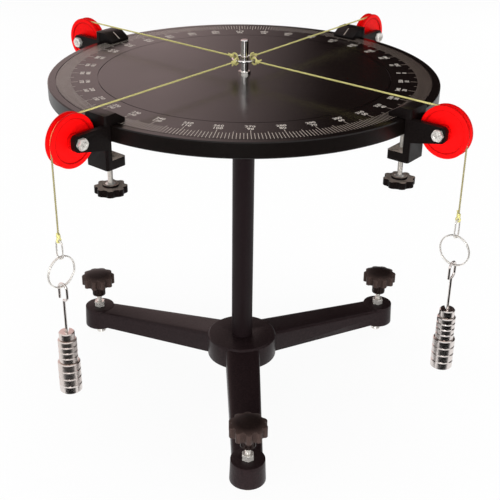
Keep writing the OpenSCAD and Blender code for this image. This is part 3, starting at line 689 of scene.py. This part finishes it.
def chrome_above(material, height, rough):
    tree = material.node_tree
    shader = tree.nodes["Principled BSDF"]
    plain_metal = shader.inputs["Metallic"].default_value
    plain_rough = shader.inputs["Roughness"].links[0].from_socket
    spot = add_node(tree, "ShaderNodeTexCoord")
    axes = add_node(tree, "ShaderNodeSeparateXYZ")
    above = add_node(tree, "ShaderNodeMath", {1: height}, operation="GREATER_THAN")
    metal = add_node(tree, "ShaderNodeMix", {"A": plain_metal, "B": 1})
    polish = add_node(tree, "ShaderNodeMix", {"B": rough})
    tree.links.new(spot.outputs["Object"], axes.inputs[0])
    tree.links.new(axes.outputs["Z"], above.inputs[0])
    tree.links.new(above.outputs[0], metal.inputs["Factor"])
    tree.links.new(above.outputs[0], polish.inputs["Factor"])
    tree.links.new(plain_rough, polish.inputs["A"])
    tree.links.new(metal.outputs["Result"], shader.inputs["Metallic"])
    tree.links.new(polish.outputs["Result"], shader.inputs["Roughness"])
    return material


finishes["lock_nuts"] = chrome_above(finish("nut_plate", *ZINC), PIN_NUT_OVER, PIN_NUT_ROUGH)
print("nuts above", PIN_NUT_OVER, "m are chromed")

# %% [markdown]
# The hanging part of a cord is painted darker than its level run, and the fine marks on the right of the scale are
# painted dimmer: both are painted shade. Both finishes fade along one direction, so the fade is a group: it
# measures a point along a direction and turns that into a mask between an unshaded and a shaded place. A mask then
# mixes one colour over a finish, here and in the steps below.

# %% Paint shade on the hanging cords and the right-hand marks
# Painted shade: the hanging part of a cord is darker than its level run.
HANGING_SHADE = (0.17, 0.145, 0.085)
# Painted shade: the marks grow dimmer towards the right of the scale.
MARK_SHADE = (0.12, 0.066, 0.046)
HANGING = {"Direction": (0, 0, 1), "Unshaded": 8 * MM, "Shaded": -18 * MM, "Amount": 0.75}
TO_THE_RIGHT = {"Direction": (1, 0, 0), "Unshaded": 30 * MM, "Shaded": 190 * MM, "Amount": 0.7}


def fade_group():
    sockets = {"Direction": POINT, "Unshaded": NUMBER, "Shaded": NUMBER, "Amount": NUMBER}
    group, entry, leave = new_group("shade_fade", sockets, ["Mask"])
    place = add_node(group, "ShaderNodeTexCoord")
    along = add_node(group, "ShaderNodeVectorMath", operation="DOT_PRODUCT")
    share = add_node(group, "ShaderNodeMapRange")
    group.links.new(place.outputs["Object"], along.inputs[0])
    group.links.new(entry.outputs["Direction"], along.inputs[1])
    group.links.new(along.outputs["Value"], share.inputs["Value"])
    group.links.new(entry.outputs["Unshaded"], share.inputs["From Min"])
    group.links.new(entry.outputs["Shaded"], share.inputs["From Max"])
    group.links.new(entry.outputs["Amount"], share.inputs["To Max"])
    group.links.new(share.outputs["Result"], leave.inputs["Mask"])
    return group


def tint(material, mask, colour):
    """Mixes a colour over a finish where a mask says so."""
    tree = material.node_tree
    paint = tree.nodes["Principled BSDF"].inputs["Base Color"]
    mix = add_node(tree, "ShaderNodeMix", {"B": (*colour, 1)}, data_type="RGBA")
    tree.links.new(mask, mix.inputs["Factor"])
    tree.links.new(paint.links[0].from_socket, mix.inputs["A"])
    tree.links.new(mix.outputs["Result"], paint)


shade_fade = fade_group()
for look, fading, colour in (
        ("cord_run", HANGING, HANGING_SHADE), ("scale_marks", TO_THE_RIGHT, MARK_SHADE)):
    fade = add_node(finishes[look].node_tree, "ShaderNodeGroup", fading, node_tree=shade_fade)
    tint(finishes[look], fade.outputs["Mask"], colour)
    print("painted_shade_on:", look)

# %% [markdown]
# The ledges under the table, the lower jaws of the clamps and the shoulders of their knobs, are painted a lighter
# warm tone: partly dust that settles where nobody wipes, partly painted light on their upward faces. Two finishes
# show it, so it is a group. Its mask is strong where a surface faces up and lies between two heights, and noise
# breaks it up.

# %% Dust the ledges and paint light on their upward faces
LEDGES = {"Bottom": -110 * MM, "Top": -28 * MM}
# Dust and painted top light: a warm lighter tone on faces that point up.
DUST_AND_TOP_LIGHT = (0.80, 0.66, 0.57)
DUST_AND_TOP_LIGHT_AMOUNT = {"clamp_black": 1, "clamp_knob": 0.42}
DUST_AND_TOP_LIGHT_SCALE = 260
DUST_AND_TOP_LIGHT_FACING = (0.6, 0.95)
DUST_AND_TOP_LIGHT_PATCHES = (0.1, 0.5)


def dust_group():
    group, entry, leave = new_group(
        "ledge_dust_and_top_light", {"Bottom": NUMBER, "Top": NUMBER, "Amount": NUMBER}, ["Mask"])
    place = add_node(group, "ShaderNodeTexCoord")
    height = add_node(group, "ShaderNodeSeparateXYZ")
    surface = add_node(group, "ShaderNodeNewGeometry")
    facing = add_node(group, "ShaderNodeSeparateXYZ")
    noise = add_node(group, "ShaderNodeTexNoise", {"Scale": DUST_AND_TOP_LIGHT_SCALE})
    over = add_node(group, "ShaderNodeMath", operation="GREATER_THAN")
    under = add_node(group, "ShaderNodeMath", operation="LESS_THAN")
    group.links.new(place.outputs["Object"], height.inputs[0])
    group.links.new(surface.outputs["Normal"], facing.inputs[0])
    group.links.new(place.outputs["Object"], noise.inputs["Vector"])
    group.links.new(height.outputs["Z"], over.inputs[0])
    group.links.new(entry.outputs["Bottom"], over.inputs[1])
    group.links.new(height.outputs["Z"], under.inputs[0])
    group.links.new(entry.outputs["Top"], under.inputs[1])
    mask = stretched(group, facing.outputs["Z"], *DUST_AND_TOP_LIGHT_FACING)
    settled = stretched(group, noise.outputs["Fac"], *DUST_AND_TOP_LIGHT_PATCHES)
    for factor in (settled, over.outputs[0], under.outputs[0], entry.outputs["Amount"]):
        both = add_node(group, "ShaderNodeMath", operation="MULTIPLY")
        group.links.new(mask, both.inputs[0])
        group.links.new(factor, both.inputs[1])
        mask = both.outputs[0]
    group.links.new(mask, leave.inputs["Mask"])
    return group


ledge_dust_and_top_light = dust_group()
for look, amount in DUST_AND_TOP_LIGHT_AMOUNT.items():
    values = {**LEDGES, "Amount": amount}
    dust_and_top_light = add_node(finishes[look].node_tree, "ShaderNodeGroup", values, node_tree=ledge_dust_and_top_light)
    tint(finishes[look], dust_and_top_light.outputs["Mask"], DUST_AND_TOP_LIGHT)
    print("dusted_and_top_lit:", look)

# %% [markdown]
# Dark rings are painted on each pulley at the corner of its recess, on its rim and round its hub. They are painted
# shade for those shallow steps. A ring is a distance from the axle, so each pulley has its own copy of the red
# paint, with a
# Mapping node that puts the axle at the middle of the pattern. The ring itself is a shared group.
# Mapping node that puts the axle at the middle of the pattern. The ring itself is a shared group.

# %% Paint the pulleys, with painted shade rings
PULLEY_RED = ((0.80, 0.0022, 0.0026), (0.92, 0.0035, 0.0040), (0.34, 0.44), 300, 0.00002, 0, 0.06)
# Painted shade: dark rings at the corner of the recess, on the rim and round the hub.
PULLEY_SHADE_RINGS = [(20.2 * MM, 1.3 * MM), (24.8 * MM, 0.7 * MM), (7.2 * MM, 0.8 * MM)]
RING_SHADE = (0.22, 0.001, 0.001)
RING_SHADE_STRENGTH = 0.65


def ring_group():
    """A mask that is 1 on a circle about the Y axis and fades out over a width."""
    group, entry, leave = new_group(
        "ring_line", {"Vector": POINT, "Radius": NUMBER, "Width": NUMBER}, ["Mask"])
    flat = add_node(group, "ShaderNodeVectorMath", {1: (1, 0, 1)}, operation="MULTIPLY")
    reach = add_node(group, "ShaderNodeVectorMath", operation="LENGTH")
    off = add_node(group, "ShaderNodeMath", operation="SUBTRACT")
    size = add_node(group, "ShaderNodeMath", operation="ABSOLUTE")
    fade = add_node(group, "ShaderNodeMapRange", {"From Min": 0, "To Min": 1, "To Max": 0})
    group.links.new(entry.outputs["Vector"], flat.inputs[0])
    group.links.new(flat.outputs[0], reach.inputs[0])
    group.links.new(reach.outputs["Value"], off.inputs[0])
    group.links.new(entry.outputs["Radius"], off.inputs[1])
    group.links.new(off.outputs[0], size.inputs[0])
    group.links.new(size.outputs[0], fade.inputs["Value"])
    group.links.new(entry.outputs["Width"], fade.inputs["From Max"])
    group.links.new(fade.outputs["Result"], leave.inputs["Mask"])
    return group


def laid_round(tree, turn, shift):
    """Object coordinates, turned and shifted so that a piece's axis becomes the Y axis."""
    spot = add_node(tree, "ShaderNodeTexCoord")
    laid = add_node(tree, "ShaderNodeMapping", {"Rotation": turn, "Location": shift})
    tree.links.new(spot.outputs["Object"], laid.inputs["Vector"])
    return laid.outputs["Vector"]


def ring_mask(tree, around, radius, width):
    ring = add_node(tree, "ShaderNodeGroup", {"Radius": radius, "Width": width}, node_tree=ring_lines)
    tree.links.new(around, ring.inputs["Vector"])
    return ring.outputs["Mask"]


def pulley_paint(place):
    material = finish(f"pulley_red_{place}", *PULLEY_RED)
    tree = material.node_tree
    axle = axle_at[place]
    out = math.hypot(axle.x, axle.y)
    around = laid_round(tree, (0, 0, -clamp_turn[place]), (-out, 0, -axle.z))
    for radius, width in PULLEY_SHADE_RINGS:
        mask = ring_mask(tree, around, radius, width)
        tint(material, scaled(tree, mask, RING_SHADE_STRENGTH), RING_SHADE)
    return material


ring_lines = ring_group()
for place in CLAMPS:
    finishes[f"pulley_{place}"] = pulley_paint(place)
print("pulley paints:", len(CLAMPS))

# %% [markdown]
# A circle is cut into the table between its field and its scale. A band wider than the cut is painted dark with
# the same ring mask, which makes it metallic with the table's near-black colour and so takes the gloss off there:
# painted shade of the groove. A Mapping node lays the table's axis along the group's own.

# %% Paint shade along the cut circle
FIELD_R = 150 * MM
CUT_SHADE_W = 1.5 * MM
UPRIGHT = (math.pi / 2, 0, 0)

table_tree = finishes["table_black"].node_tree
# Painted shade: a dark band along the cut circle, wider than the cut itself.
cut = ring_mask(table_tree, laid_round(table_tree, UPRIGHT, (0, 0, 0)), FIELD_R, CUT_SHADE_W)
table_tree.links.new(cut, table_tree.nodes["Principled BSDF"].inputs["Metallic"])
print("cut circle at", FIELD_R, "m")

# %% [markdown]
# The lobes of a levelling knob are painted lighter and the middle of its top is left black: partly finger wear,
# partly a painted highlight on the lobes. Each knob has its own copy of the finish, with a wide ring mask laid
# round its own axis.

# %% Wear and highlight the levelling knobs
KNOB_BLACK = ((0.008, 0.0048, 0.0043), (0.016, 0.0096, 0.0086), *MOULDED, 0.07)
WEAR_AND_HIGHLIGHT_R = 19.5 * MM
WEAR_AND_HIGHLIGHT_W = 8 * MM
# Wear and painted highlight: the lighter tone on the lobes.
WEAR_AND_HIGHLIGHT = (0.070, 0.046, 0.040)
WEAR_AND_HIGHLIGHT_AMOUNT = 0.6


def worn_knob(leg):
    material = finish(f"knob_black_{leg}", *KNOB_BLACK)
    tree = material.node_tree
    around = laid_round(tree, UPRIGHT, (-leg_at[leg].x, 0, -leg_at[leg].y))
    mask = ring_mask(tree, around, WEAR_AND_HIGHLIGHT_R, WEAR_AND_HIGHLIGHT_W)
    tint(material, scaled(tree, mask, WEAR_AND_HIGHLIGHT_AMOUNT), WEAR_AND_HIGHLIGHT)
    return material


for leg in LEGS:
    finishes[f"levelling_knob_{leg}"] = worn_knob(leg)
print("worn knobs:", len(LEGS))

# %% [markdown]
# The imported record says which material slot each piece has, so one loop dresses every piece of the
# frame, by its own name where it has a finish of its own.

# %% Dress the frame's pieces
def dress(piece, look):
    piece.data.materials.clear()
    piece.data.materials.append(finishes[look])


slot_of = {entry["node"]: entry["material_slot"] for entry in frame["record"]["subparts"]}
for name, piece in nodes.items():
    dress(piece, name if name in finishes else slot_of[name])
for place in CLAMPS:
    dress(cords[place], "cord_run")
    for piece in knots[place]:
        dress(piece, "cord")
print("dressed", len(nodes), "pieces of the frame")

# %% [markdown]
# ## The scale
#
# The scale is cut into the table and filled with white. Seen from any distance it is flat, so each
# mark is a thin plate a few hundredths of a millimetre proud of the table. One mark is drawn and the
# spin tool copies it round the axis, once for each length of mark.

# %% Draw the degree marks
MARK_OUTER = 191.4 * MM
MARK_W = 0.5 * MM
MARK_RISE = 0.05 * MM
MARK_SINK = 0.03 * MM
MARKS = [
    (1, 5, 177 * MM), (2, 5, 177 * MM), (3, 5, 177 * MM), (4, 5, 177 * MM),
    (5, 10, 174 * MM), (0, 10, 170 * MM),
]


def marks_round(first, step, inner):
    """Marks of one length, from a first angle on, a number of degrees apart."""
    clear_selection()
    bpy.ops.mesh.primitive_plane_add(size=1)
    piece = bpy.context.object
    length = MARK_OUTER - inner
    turn = Matrix.Rotation(math.radians(first), 4, "Z")
    place = Matrix.Translation((inner + length / 2, 0, -MARK_SINK))
    piece.data.transform(turn @ place @ Matrix.Diagonal((length, MARK_W, 1, 1)))
    bpy.ops.object.mode_set(mode="EDIT")
    bpy.ops.mesh.select_all(action="SELECT")
    bpy.ops.mesh.extrude_region_move(TRANSFORM_OT_translate={"value": (0, 0, MARK_RISE + MARK_SINK)})
    bpy.ops.mesh.select_all(action="SELECT")
    bpy.ops.mesh.normals_make_consistent(inside=False)
    count = 360 // step
    bpy.ops.mesh.spin(
        steps=count - 1, dupli=True, angle=math.radians(360 - step), center=(0, 0, 0), axis=(0, 0, 1))
    bpy.ops.object.mode_set(mode="OBJECT")
    return piece


degree_marks = joined("degree_marks", [marks_round(*mark) for mark in MARKS])
dress(degree_marks, "scale_marks")
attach(degree_marks, "stand")
print("marks:", len(degree_marks.data.polygons) // 6)

# %% [markdown]
# The numerals stand in two rows, every ten degrees, and count both ways round. They are text, turned
# to face whoever stands outside the table, and made into meshes so that they can be joined.

# %% Write the numerals
NUMERAL_H = 6.4 * MM
OUTER_ROW = 166.6 * MM
INNER_ROW = 160.4 * MM
NUMERAL_STEP = 10
NUMERAL_BOLD = 0.08 * MM
NUMERAL_CURVE = 2


def numeral(number, radius, angle):
    clear_selection()
    bpy.ops.object.text_add()
    piece = bpy.context.object
    piece.data.body = str(number)
    piece.data.size = NUMERAL_H
    piece.data.align_x = "CENTER"
    piece.data.align_y = "CENTER"
    piece.data.extrude = (MARK_RISE + MARK_SINK) / 2
    piece.data.offset = NUMERAL_BOLD
    piece.data.resolution_u = NUMERAL_CURVE
    bpy.ops.object.convert(target="MESH")
    turn = Matrix.Rotation(math.radians(angle), 4, "Z")
    face_out = Matrix.Rotation(math.radians(90), 4, "Z")
    lift = (MARK_RISE - MARK_SINK) / 2
    piece.data.transform(turn @ Matrix.Translation((radius, 0, lift)) @ face_out)
    return piece


texts = []
for angle in range(0, 360, NUMERAL_STEP):
    texts.append(numeral(angle, INNER_ROW, angle))
    texts.append(numeral((360 - angle) % 360, OUTER_ROW, angle))
numerals = joined("scale_numerals", texts)
dress(numerals, "scale_white")
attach(numerals, "stand")
print("numerals:", len(texts), "with", len(numerals.data.polygons), "faces")

# %% [markdown]
# A white line on each clamp's nose points at the scale. It lies on the slope of the jaw, so the plate
# is tilted with it.

# %% Draw the index lines
JAW_TOP = 10 * MM
NOSE_TOP = 2.5 * MM
SLOPE_FROM = 193 * MM
SLOPE_TO = 181 * MM
INDEX_FROM = 192.2 * MM
INDEX_TO = 182.6 * MM
INDEX_W = 1.1 * MM
INDEX_SINK = 0.4


def jaw_height(out):
    return JAW_TOP - (JAW_TOP - NOSE_TOP) * (SLOPE_FROM - out) / (SLOPE_FROM - SLOPE_TO)


def index_line(place):
    clear_selection()
    bpy.ops.mesh.primitive_plane_add(size=1)
    piece = bpy.context.object
    piece.name = f"index_line_{place}"
    middle = (INDEX_FROM + INDEX_TO) / 2
    slope = math.atan2(JAW_TOP - NOSE_TOP, SLOPE_FROM - SLOPE_TO)
    long = (INDEX_FROM - INDEX_TO) / math.cos(slope)
    bpy.ops.object.mode_set(mode="EDIT")
    bpy.ops.mesh.extrude_region_move(TRANSFORM_OT_translate={"value": (0, 0, 1)})
    bpy.ops.mesh.select_all(action="SELECT")
    bpy.ops.mesh.normals_make_consistent(inside=False)
    bpy.ops.object.mode_set(mode="OBJECT")
    piece.data.transform(
        Matrix.Rotation(clamp_turn[place], 4, "Z")
        @ Matrix.Translation((middle, 0, jaw_height(middle)))
        @ Matrix.Rotation(-slope, 4, "Y")
        @ Matrix.Diagonal((long, INDEX_W, MARK_RISE + MARK_SINK, 1))
        @ Matrix.Translation((0, 0, -INDEX_SINK)))
    dress(piece, "scale_marks")
    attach(piece, f"clamp_{place}")
    return piece


for place in CLAMPS:
    print(index_line(place).name)

# %% [markdown]
# ## Threads
#
# The frame's screws are plain rods, which is all that their fits need. A thread is a zigzag profile
# that climbs as it turns, and the Screw modifier does exactly that. The rod is made a little long and
# cut square at both ends by bisect, which also closes it.

# %% Turn the threads
LEVEL_SCREW_D = 6 * MM
LEVEL_PITCH = 1 * MM
THREAD_STEPS = 18
THREAD_DEPTH = 0.6
THREAD_CREASE = math.radians(25)
SPARE_TURNS = 2
MERGE = 1e-6
FINE_MERGE = 1e-7


def ordered_chain(mesh):
    """The three points of an open line, from one end to the other."""
    uses = [edge.vertices[k] for edge in mesh.edges for k in (0, 1)]
    middle = next(i for i in range(len(mesh.vertices)) if uses.count(i) == 2)
    ends = [i for i in range(len(mesh.vertices)) if i != middle]
    return [ends[0], middle, ends[1]]


def open_line(name, spots):
    """A line through three points: a plane that has lost its face and one corner."""
    clear_selection()
    bpy.ops.mesh.primitive_plane_add(size=1)
    piece = bpy.context.object
    piece.name = name
    bpy.ops.object.mode_set(mode="EDIT")
    bpy.ops.mesh.delete(type="ONLY_FACE")
    bpy.ops.mesh.select_all(action="DESELECT")
    bpy.ops.object.mode_set(mode="OBJECT")
    piece.data.vertices[0].select = True
    bpy.ops.object.mode_set(mode="EDIT")
    bpy.ops.mesh.delete(type="VERT")
    bpy.ops.object.mode_set(mode="OBJECT")
    for index, spot in zip(ordered_chain(piece.data), spots):
        piece.data.vertices[index].co = spot
    return piece


def threaded_rod(name, axis, low, high, diameter, pitch):
    """A threaded rod about an upright axis, from one height to another."""
    crest = diameter / 2
    root = crest - THREAD_DEPTH * pitch
    foot = low - SPARE_TURNS * pitch
    piece = open_line(name, [(crest, 0, foot), (root, 0, foot + pitch / 2), (crest, 0, foot + pitch)])
    screw = piece.modifiers.new("thread", "SCREW")
    screw.axis = "Z"
    screw.screw_offset = pitch
    screw.iterations = math.ceil((high - low) / pitch) + SPARE_TURNS + 1
    screw.steps = THREAD_STEPS
    screw.render_steps = THREAD_STEPS
    screw.use_merge_vertices = True
    screw.merge_threshold = MERGE
    bpy.ops.object.modifier_apply(modifier=screw.name)
    bpy.ops.object.mode_set(mode="EDIT")
    for height, above in ((low, False), (high, True)):
        bpy.ops.mesh.select_all(action="SELECT")
        bpy.ops.mesh.bisect(
            plane_co=(0, 0, height), plane_no=(0, 0, 1), use_fill=True,
            clear_inner=not above, clear_outer=above)
    bpy.ops.mesh.select_all(action="SELECT")
    bpy.ops.mesh.remove_doubles(threshold=FINE_MERGE)
    bpy.ops.mesh.normals_make_consistent(inside=False)
    bpy.ops.object.mode_set(mode="OBJECT")
    piece.data.transform(Matrix.Translation((axis.x, axis.y, 0)))
    bpy.ops.object.shade_smooth_by_angle(angle=THREAD_CREASE)
    return piece


for leg in LEGS:
    low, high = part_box(f"levelling_screw_{leg}")
    rod = threaded_rod(f"levelling_thread_{leg}", leg_at[leg], low.z, high.z, LEVEL_SCREW_D, LEVEL_PITCH)
    dress(rod, "steel")
    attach(rod, f"levelling_{leg}")
    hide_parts(f"levelling_screw_{leg}")
    print(rod.name, len(rod.data.polygons), "faces")

# %% [markdown]
# The clamp screws also have a small flange that seats on the knob's collar. It is a cone with its rim
# eased by a bevel, joined to the threaded rod.

# %% Make the clamp screws
CLAMP_SCREW_D = 5 * MM
CLAMP_PITCH = 0.8 * MM
FLANGE_R = 5 * MM
FLANGE_TOP_R = 3 * MM
FLANGE_T = 1.2 * MM
FLANGE_EASE = 0.25 * MM
FLANGE_SIDES = 40
FLANGE_SEGMENTS = 2
CREASE = math.radians(30)


def screw_flange(axis, foot):
    clear_selection()
    bpy.ops.mesh.primitive_cone_add(
        vertices=FLANGE_SIDES, radius1=FLANGE_R, radius2=FLANGE_TOP_R, depth=FLANGE_T)
    piece = bpy.context.object
    bpy.ops.object.mode_set(mode="EDIT")
    bpy.ops.mesh.select_all(action="SELECT")
    bpy.ops.mesh.bevel(offset=FLANGE_EASE, segments=FLANGE_SEGMENTS, affect="EDGES")
    bpy.ops.object.mode_set(mode="OBJECT")
    piece.data.transform(Matrix.Translation((axis.x, axis.y, foot + FLANGE_T / 2)))
    bpy.ops.object.shade_smooth_by_angle(angle=CREASE)
    return piece


for place in CLAMPS:
    low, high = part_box(f"clamp_screw_{place}")
    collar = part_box(f"clamp_knob_{place}")[1].z
    rod = threaded_rod(f"clamp_rod_{place}", screw_at[place], low.z, high.z, CLAMP_SCREW_D, CLAMP_PITCH)
    rod = joined(f"clamp_thread_{place}", [rod, screw_flange(screw_at[place], collar)])
    dress(rod, "steel")
    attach(rod, f"screw_{place}")
    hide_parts(f"clamp_screw_{place}")
    print(rod.name, len(rod.data.polygons), "faces")

# %% [markdown]
# ## Split rings
#
# A split ring is one wire wound twice and closed up. Two turns of a flat helix show its overlap and
# its two cut ends, which a plain ring wouldn't.

# %% Wind the split rings
SPLIT_WIRE_R = 0.7 * MM
SPLIT_TURNS = 2
SPLIT_POINTS = 72
SPLIT_ROUND = 3
SPLIT_SHIFT = 0.6 * MM
SPLIT_STARTS = math.radians(150)
CROSS_FROM = 0.85
CROSS_OVER = 0.3
WIRE_CREASE = math.radians(50)


def split_ring(place):
    low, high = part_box(f"split_ring_{place}")
    middle = (low + high) / 2
    radius = (high.z - low.z) / 2 - SPLIT_WIRE_R
    out = math.hypot(middle.x, middle.y)
    wire = []
    for i in range(SPLIT_TURNS * SPLIT_POINTS + 1):
        turns = i / SPLIT_POINTS
        angle = 2 * math.pi * turns - SPLIT_STARTS
        rise = min(1, max(0, (turns - CROSS_FROM) / CROSS_OVER))
        shift = SPLIT_SHIFT * (2 * rise * rise * (3 - 2 * rise) - 1)
        wire.append(in_clamp_plane(
            place, out + radius * math.cos(angle), shift, middle.z + radius * math.sin(angle)))
    piece = tubes(f"wound_ring_{place}", [wire], SPLIT_WIRE_R, SPLIT_ROUND)
    make_active(piece)
    bpy.ops.object.shade_smooth_by_angle(angle=WIRE_CREASE)
    return piece


for place in LOADED:
    ring = split_ring(place)
    dress(ring, "steel")
    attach(ring, f"ring_{place}")
    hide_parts(f"split_ring_{place}")
    print(ring.name, len(ring.data.polygons), "faces")

# %% [markdown]
# ## Soft edges
#
# Castings and mouldings have no knife edges. A copy of the frame's mesh is merged, its flat faces are
# joined, and a bevel rounds every corner sharper than a limit. The copy stands for the frame's piece.
# Hands polish a knob's edges, so there the bevel's own strip gets a lighter finish, which is partly wear and
# partly a painted edge highlight.

# %% Ease the edges of castings and mouldings
EASED = [("tripod_base", "stand", 1.4 * MM)]
EASED += [(f"clamp_frame_{place}", f"clamp_{place}", 0.7 * MM) for place in CLAMPS]
EASED += [(f"clamp_knob_{place}", f"screw_{place}", 0.7 * MM) for place in CLAMPS]
EASED += [(f"levelling_knob_{leg}", f"levelling_{leg}", 1.5 * MM) for leg in LEGS]
SHARP = math.radians(38)
FLAT = math.radians(0.4)
EASE_SEGMENTS = 3


def merged_copy(node, name):
    """A copy of a piece of the frame, with its triangles merged into whole faces."""
    piece = bpy.data.objects.new(name, nodes[node].data.copy())
    bpy.context.scene.collection.objects.link(piece)
    make_active(piece)
    bpy.ops.object.mode_set(mode="EDIT")
    bpy.ops.mesh.select_all(action="SELECT")
    bpy.ops.mesh.remove_doubles(threshold=MERGE)
    bpy.ops.mesh.dissolve_limited(angle_limit=FLAT)
    bpy.ops.object.mode_set(mode="OBJECT")
    return piece


def eased_copy(node, width):
    piece = merged_copy(node, f"{node}_eased")
    bevel = piece.modifiers.new("soft edge", "BEVEL")
    bevel.limit_method = "ANGLE"
    bevel.angle_limit = SHARP
    bevel.width = width
    bevel.segments = EASE_SEGMENTS
    bevel.use_clamp_overlap = True
    # On knobs the bevel strip takes the lighter finish: wear and painted edge highlight.
    if "knob" in node:
        piece.data.materials.append(finishes["knob_worn_edge_highlight"])
        bevel.material = 1
    bpy.ops.object.modifier_apply(modifier=bevel.name)
    bpy.ops.object.shade_smooth_by_angle(angle=CREASE)
    return piece


for node, body, width in EASED:
    piece = eased_copy(node, width)
    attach(piece, body)
    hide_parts(node)
    print(piece.name, len(piece.data.polygons), "faces")

# %% [markdown]
# The axle bolts are headed cold, which leaves a shallow round dimple in the head, and their cut end is
# a little hollow. Two insets make each: the first draws the rim and the second sinks the middle.

# %% Press the ends of the axle bolts
HEAD_RIM = 1.8 * MM
HEAD_DEPTH = 0.8 * MM
TAIL_RIM = 0.8 * MM
TAIL_DEPTH = 0.6 * MM
DIMPLE_SLOPE = 0.5 * MM
FACING = 0.99


def sink_end(piece, direction, rim, depth):
    """Sinks the middle of the flat face that lies furthest in a direction."""
    bpy.ops.object.mode_set(mode="EDIT")
    bpy.ops.mesh.select_mode(type="FACE")
    bpy.ops.mesh.select_all(action="DESELECT")
    bpy.ops.object.mode_set(mode="OBJECT")
    level = [face for face in piece.data.polygons if face.normal.dot(direction) > FACING]
    end = max(level, key=lambda face: face.center.dot(direction))
    end.select = True
    bpy.ops.object.mode_set(mode="EDIT")
    bpy.ops.mesh.inset(thickness=rim, depth=0)
    bpy.ops.mesh.inset(thickness=DIMPLE_SLOPE, depth=-depth)
    bpy.ops.object.mode_set(mode="OBJECT")


for place in CLAMPS:
    bolt = merged_copy(f"axle_bolt_{place}", f"pressed_bolt_{place}")
    along = in_clamp_plane(place, 0, 1, 0)
    sink_end(bolt, -along, HEAD_RIM, HEAD_DEPTH)
    sink_end(bolt, along, TAIL_RIM, TAIL_DEPTH)
    bpy.ops.object.shade_smooth_by_angle(angle=CREASE)
    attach(bolt, f"clamp_{place}")
    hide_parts(f"axle_bolt_{place}")
    print(bolt.name, len(bolt.data.polygons), "faces")

# %% [markdown]
# ## Smooth shading
#
# The frame's round pieces are many flat strips. Shading smooths them where they meet at a small angle
# and keeps real corners crisp.

# %% Smooth the frame's pieces
clear_selection()
for piece in nodes.values():
    if not piece.hide_viewport:
        piece.select_set(True)
        bpy.context.view_layer.objects.active = piece
bpy.ops.object.shade_smooth_by_angle(angle=CREASE)
print("smoothed", len(bpy.context.selected_objects), "pieces")
clear_selection()

# %% [markdown]
# ## Sizes
#
# The dressed table has to keep the frame's size, so its box is printed here, as the frame's box was at the start.

# %% Print the visual box
low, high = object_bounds()
print("visual box:", tuple(low), tuple(high))
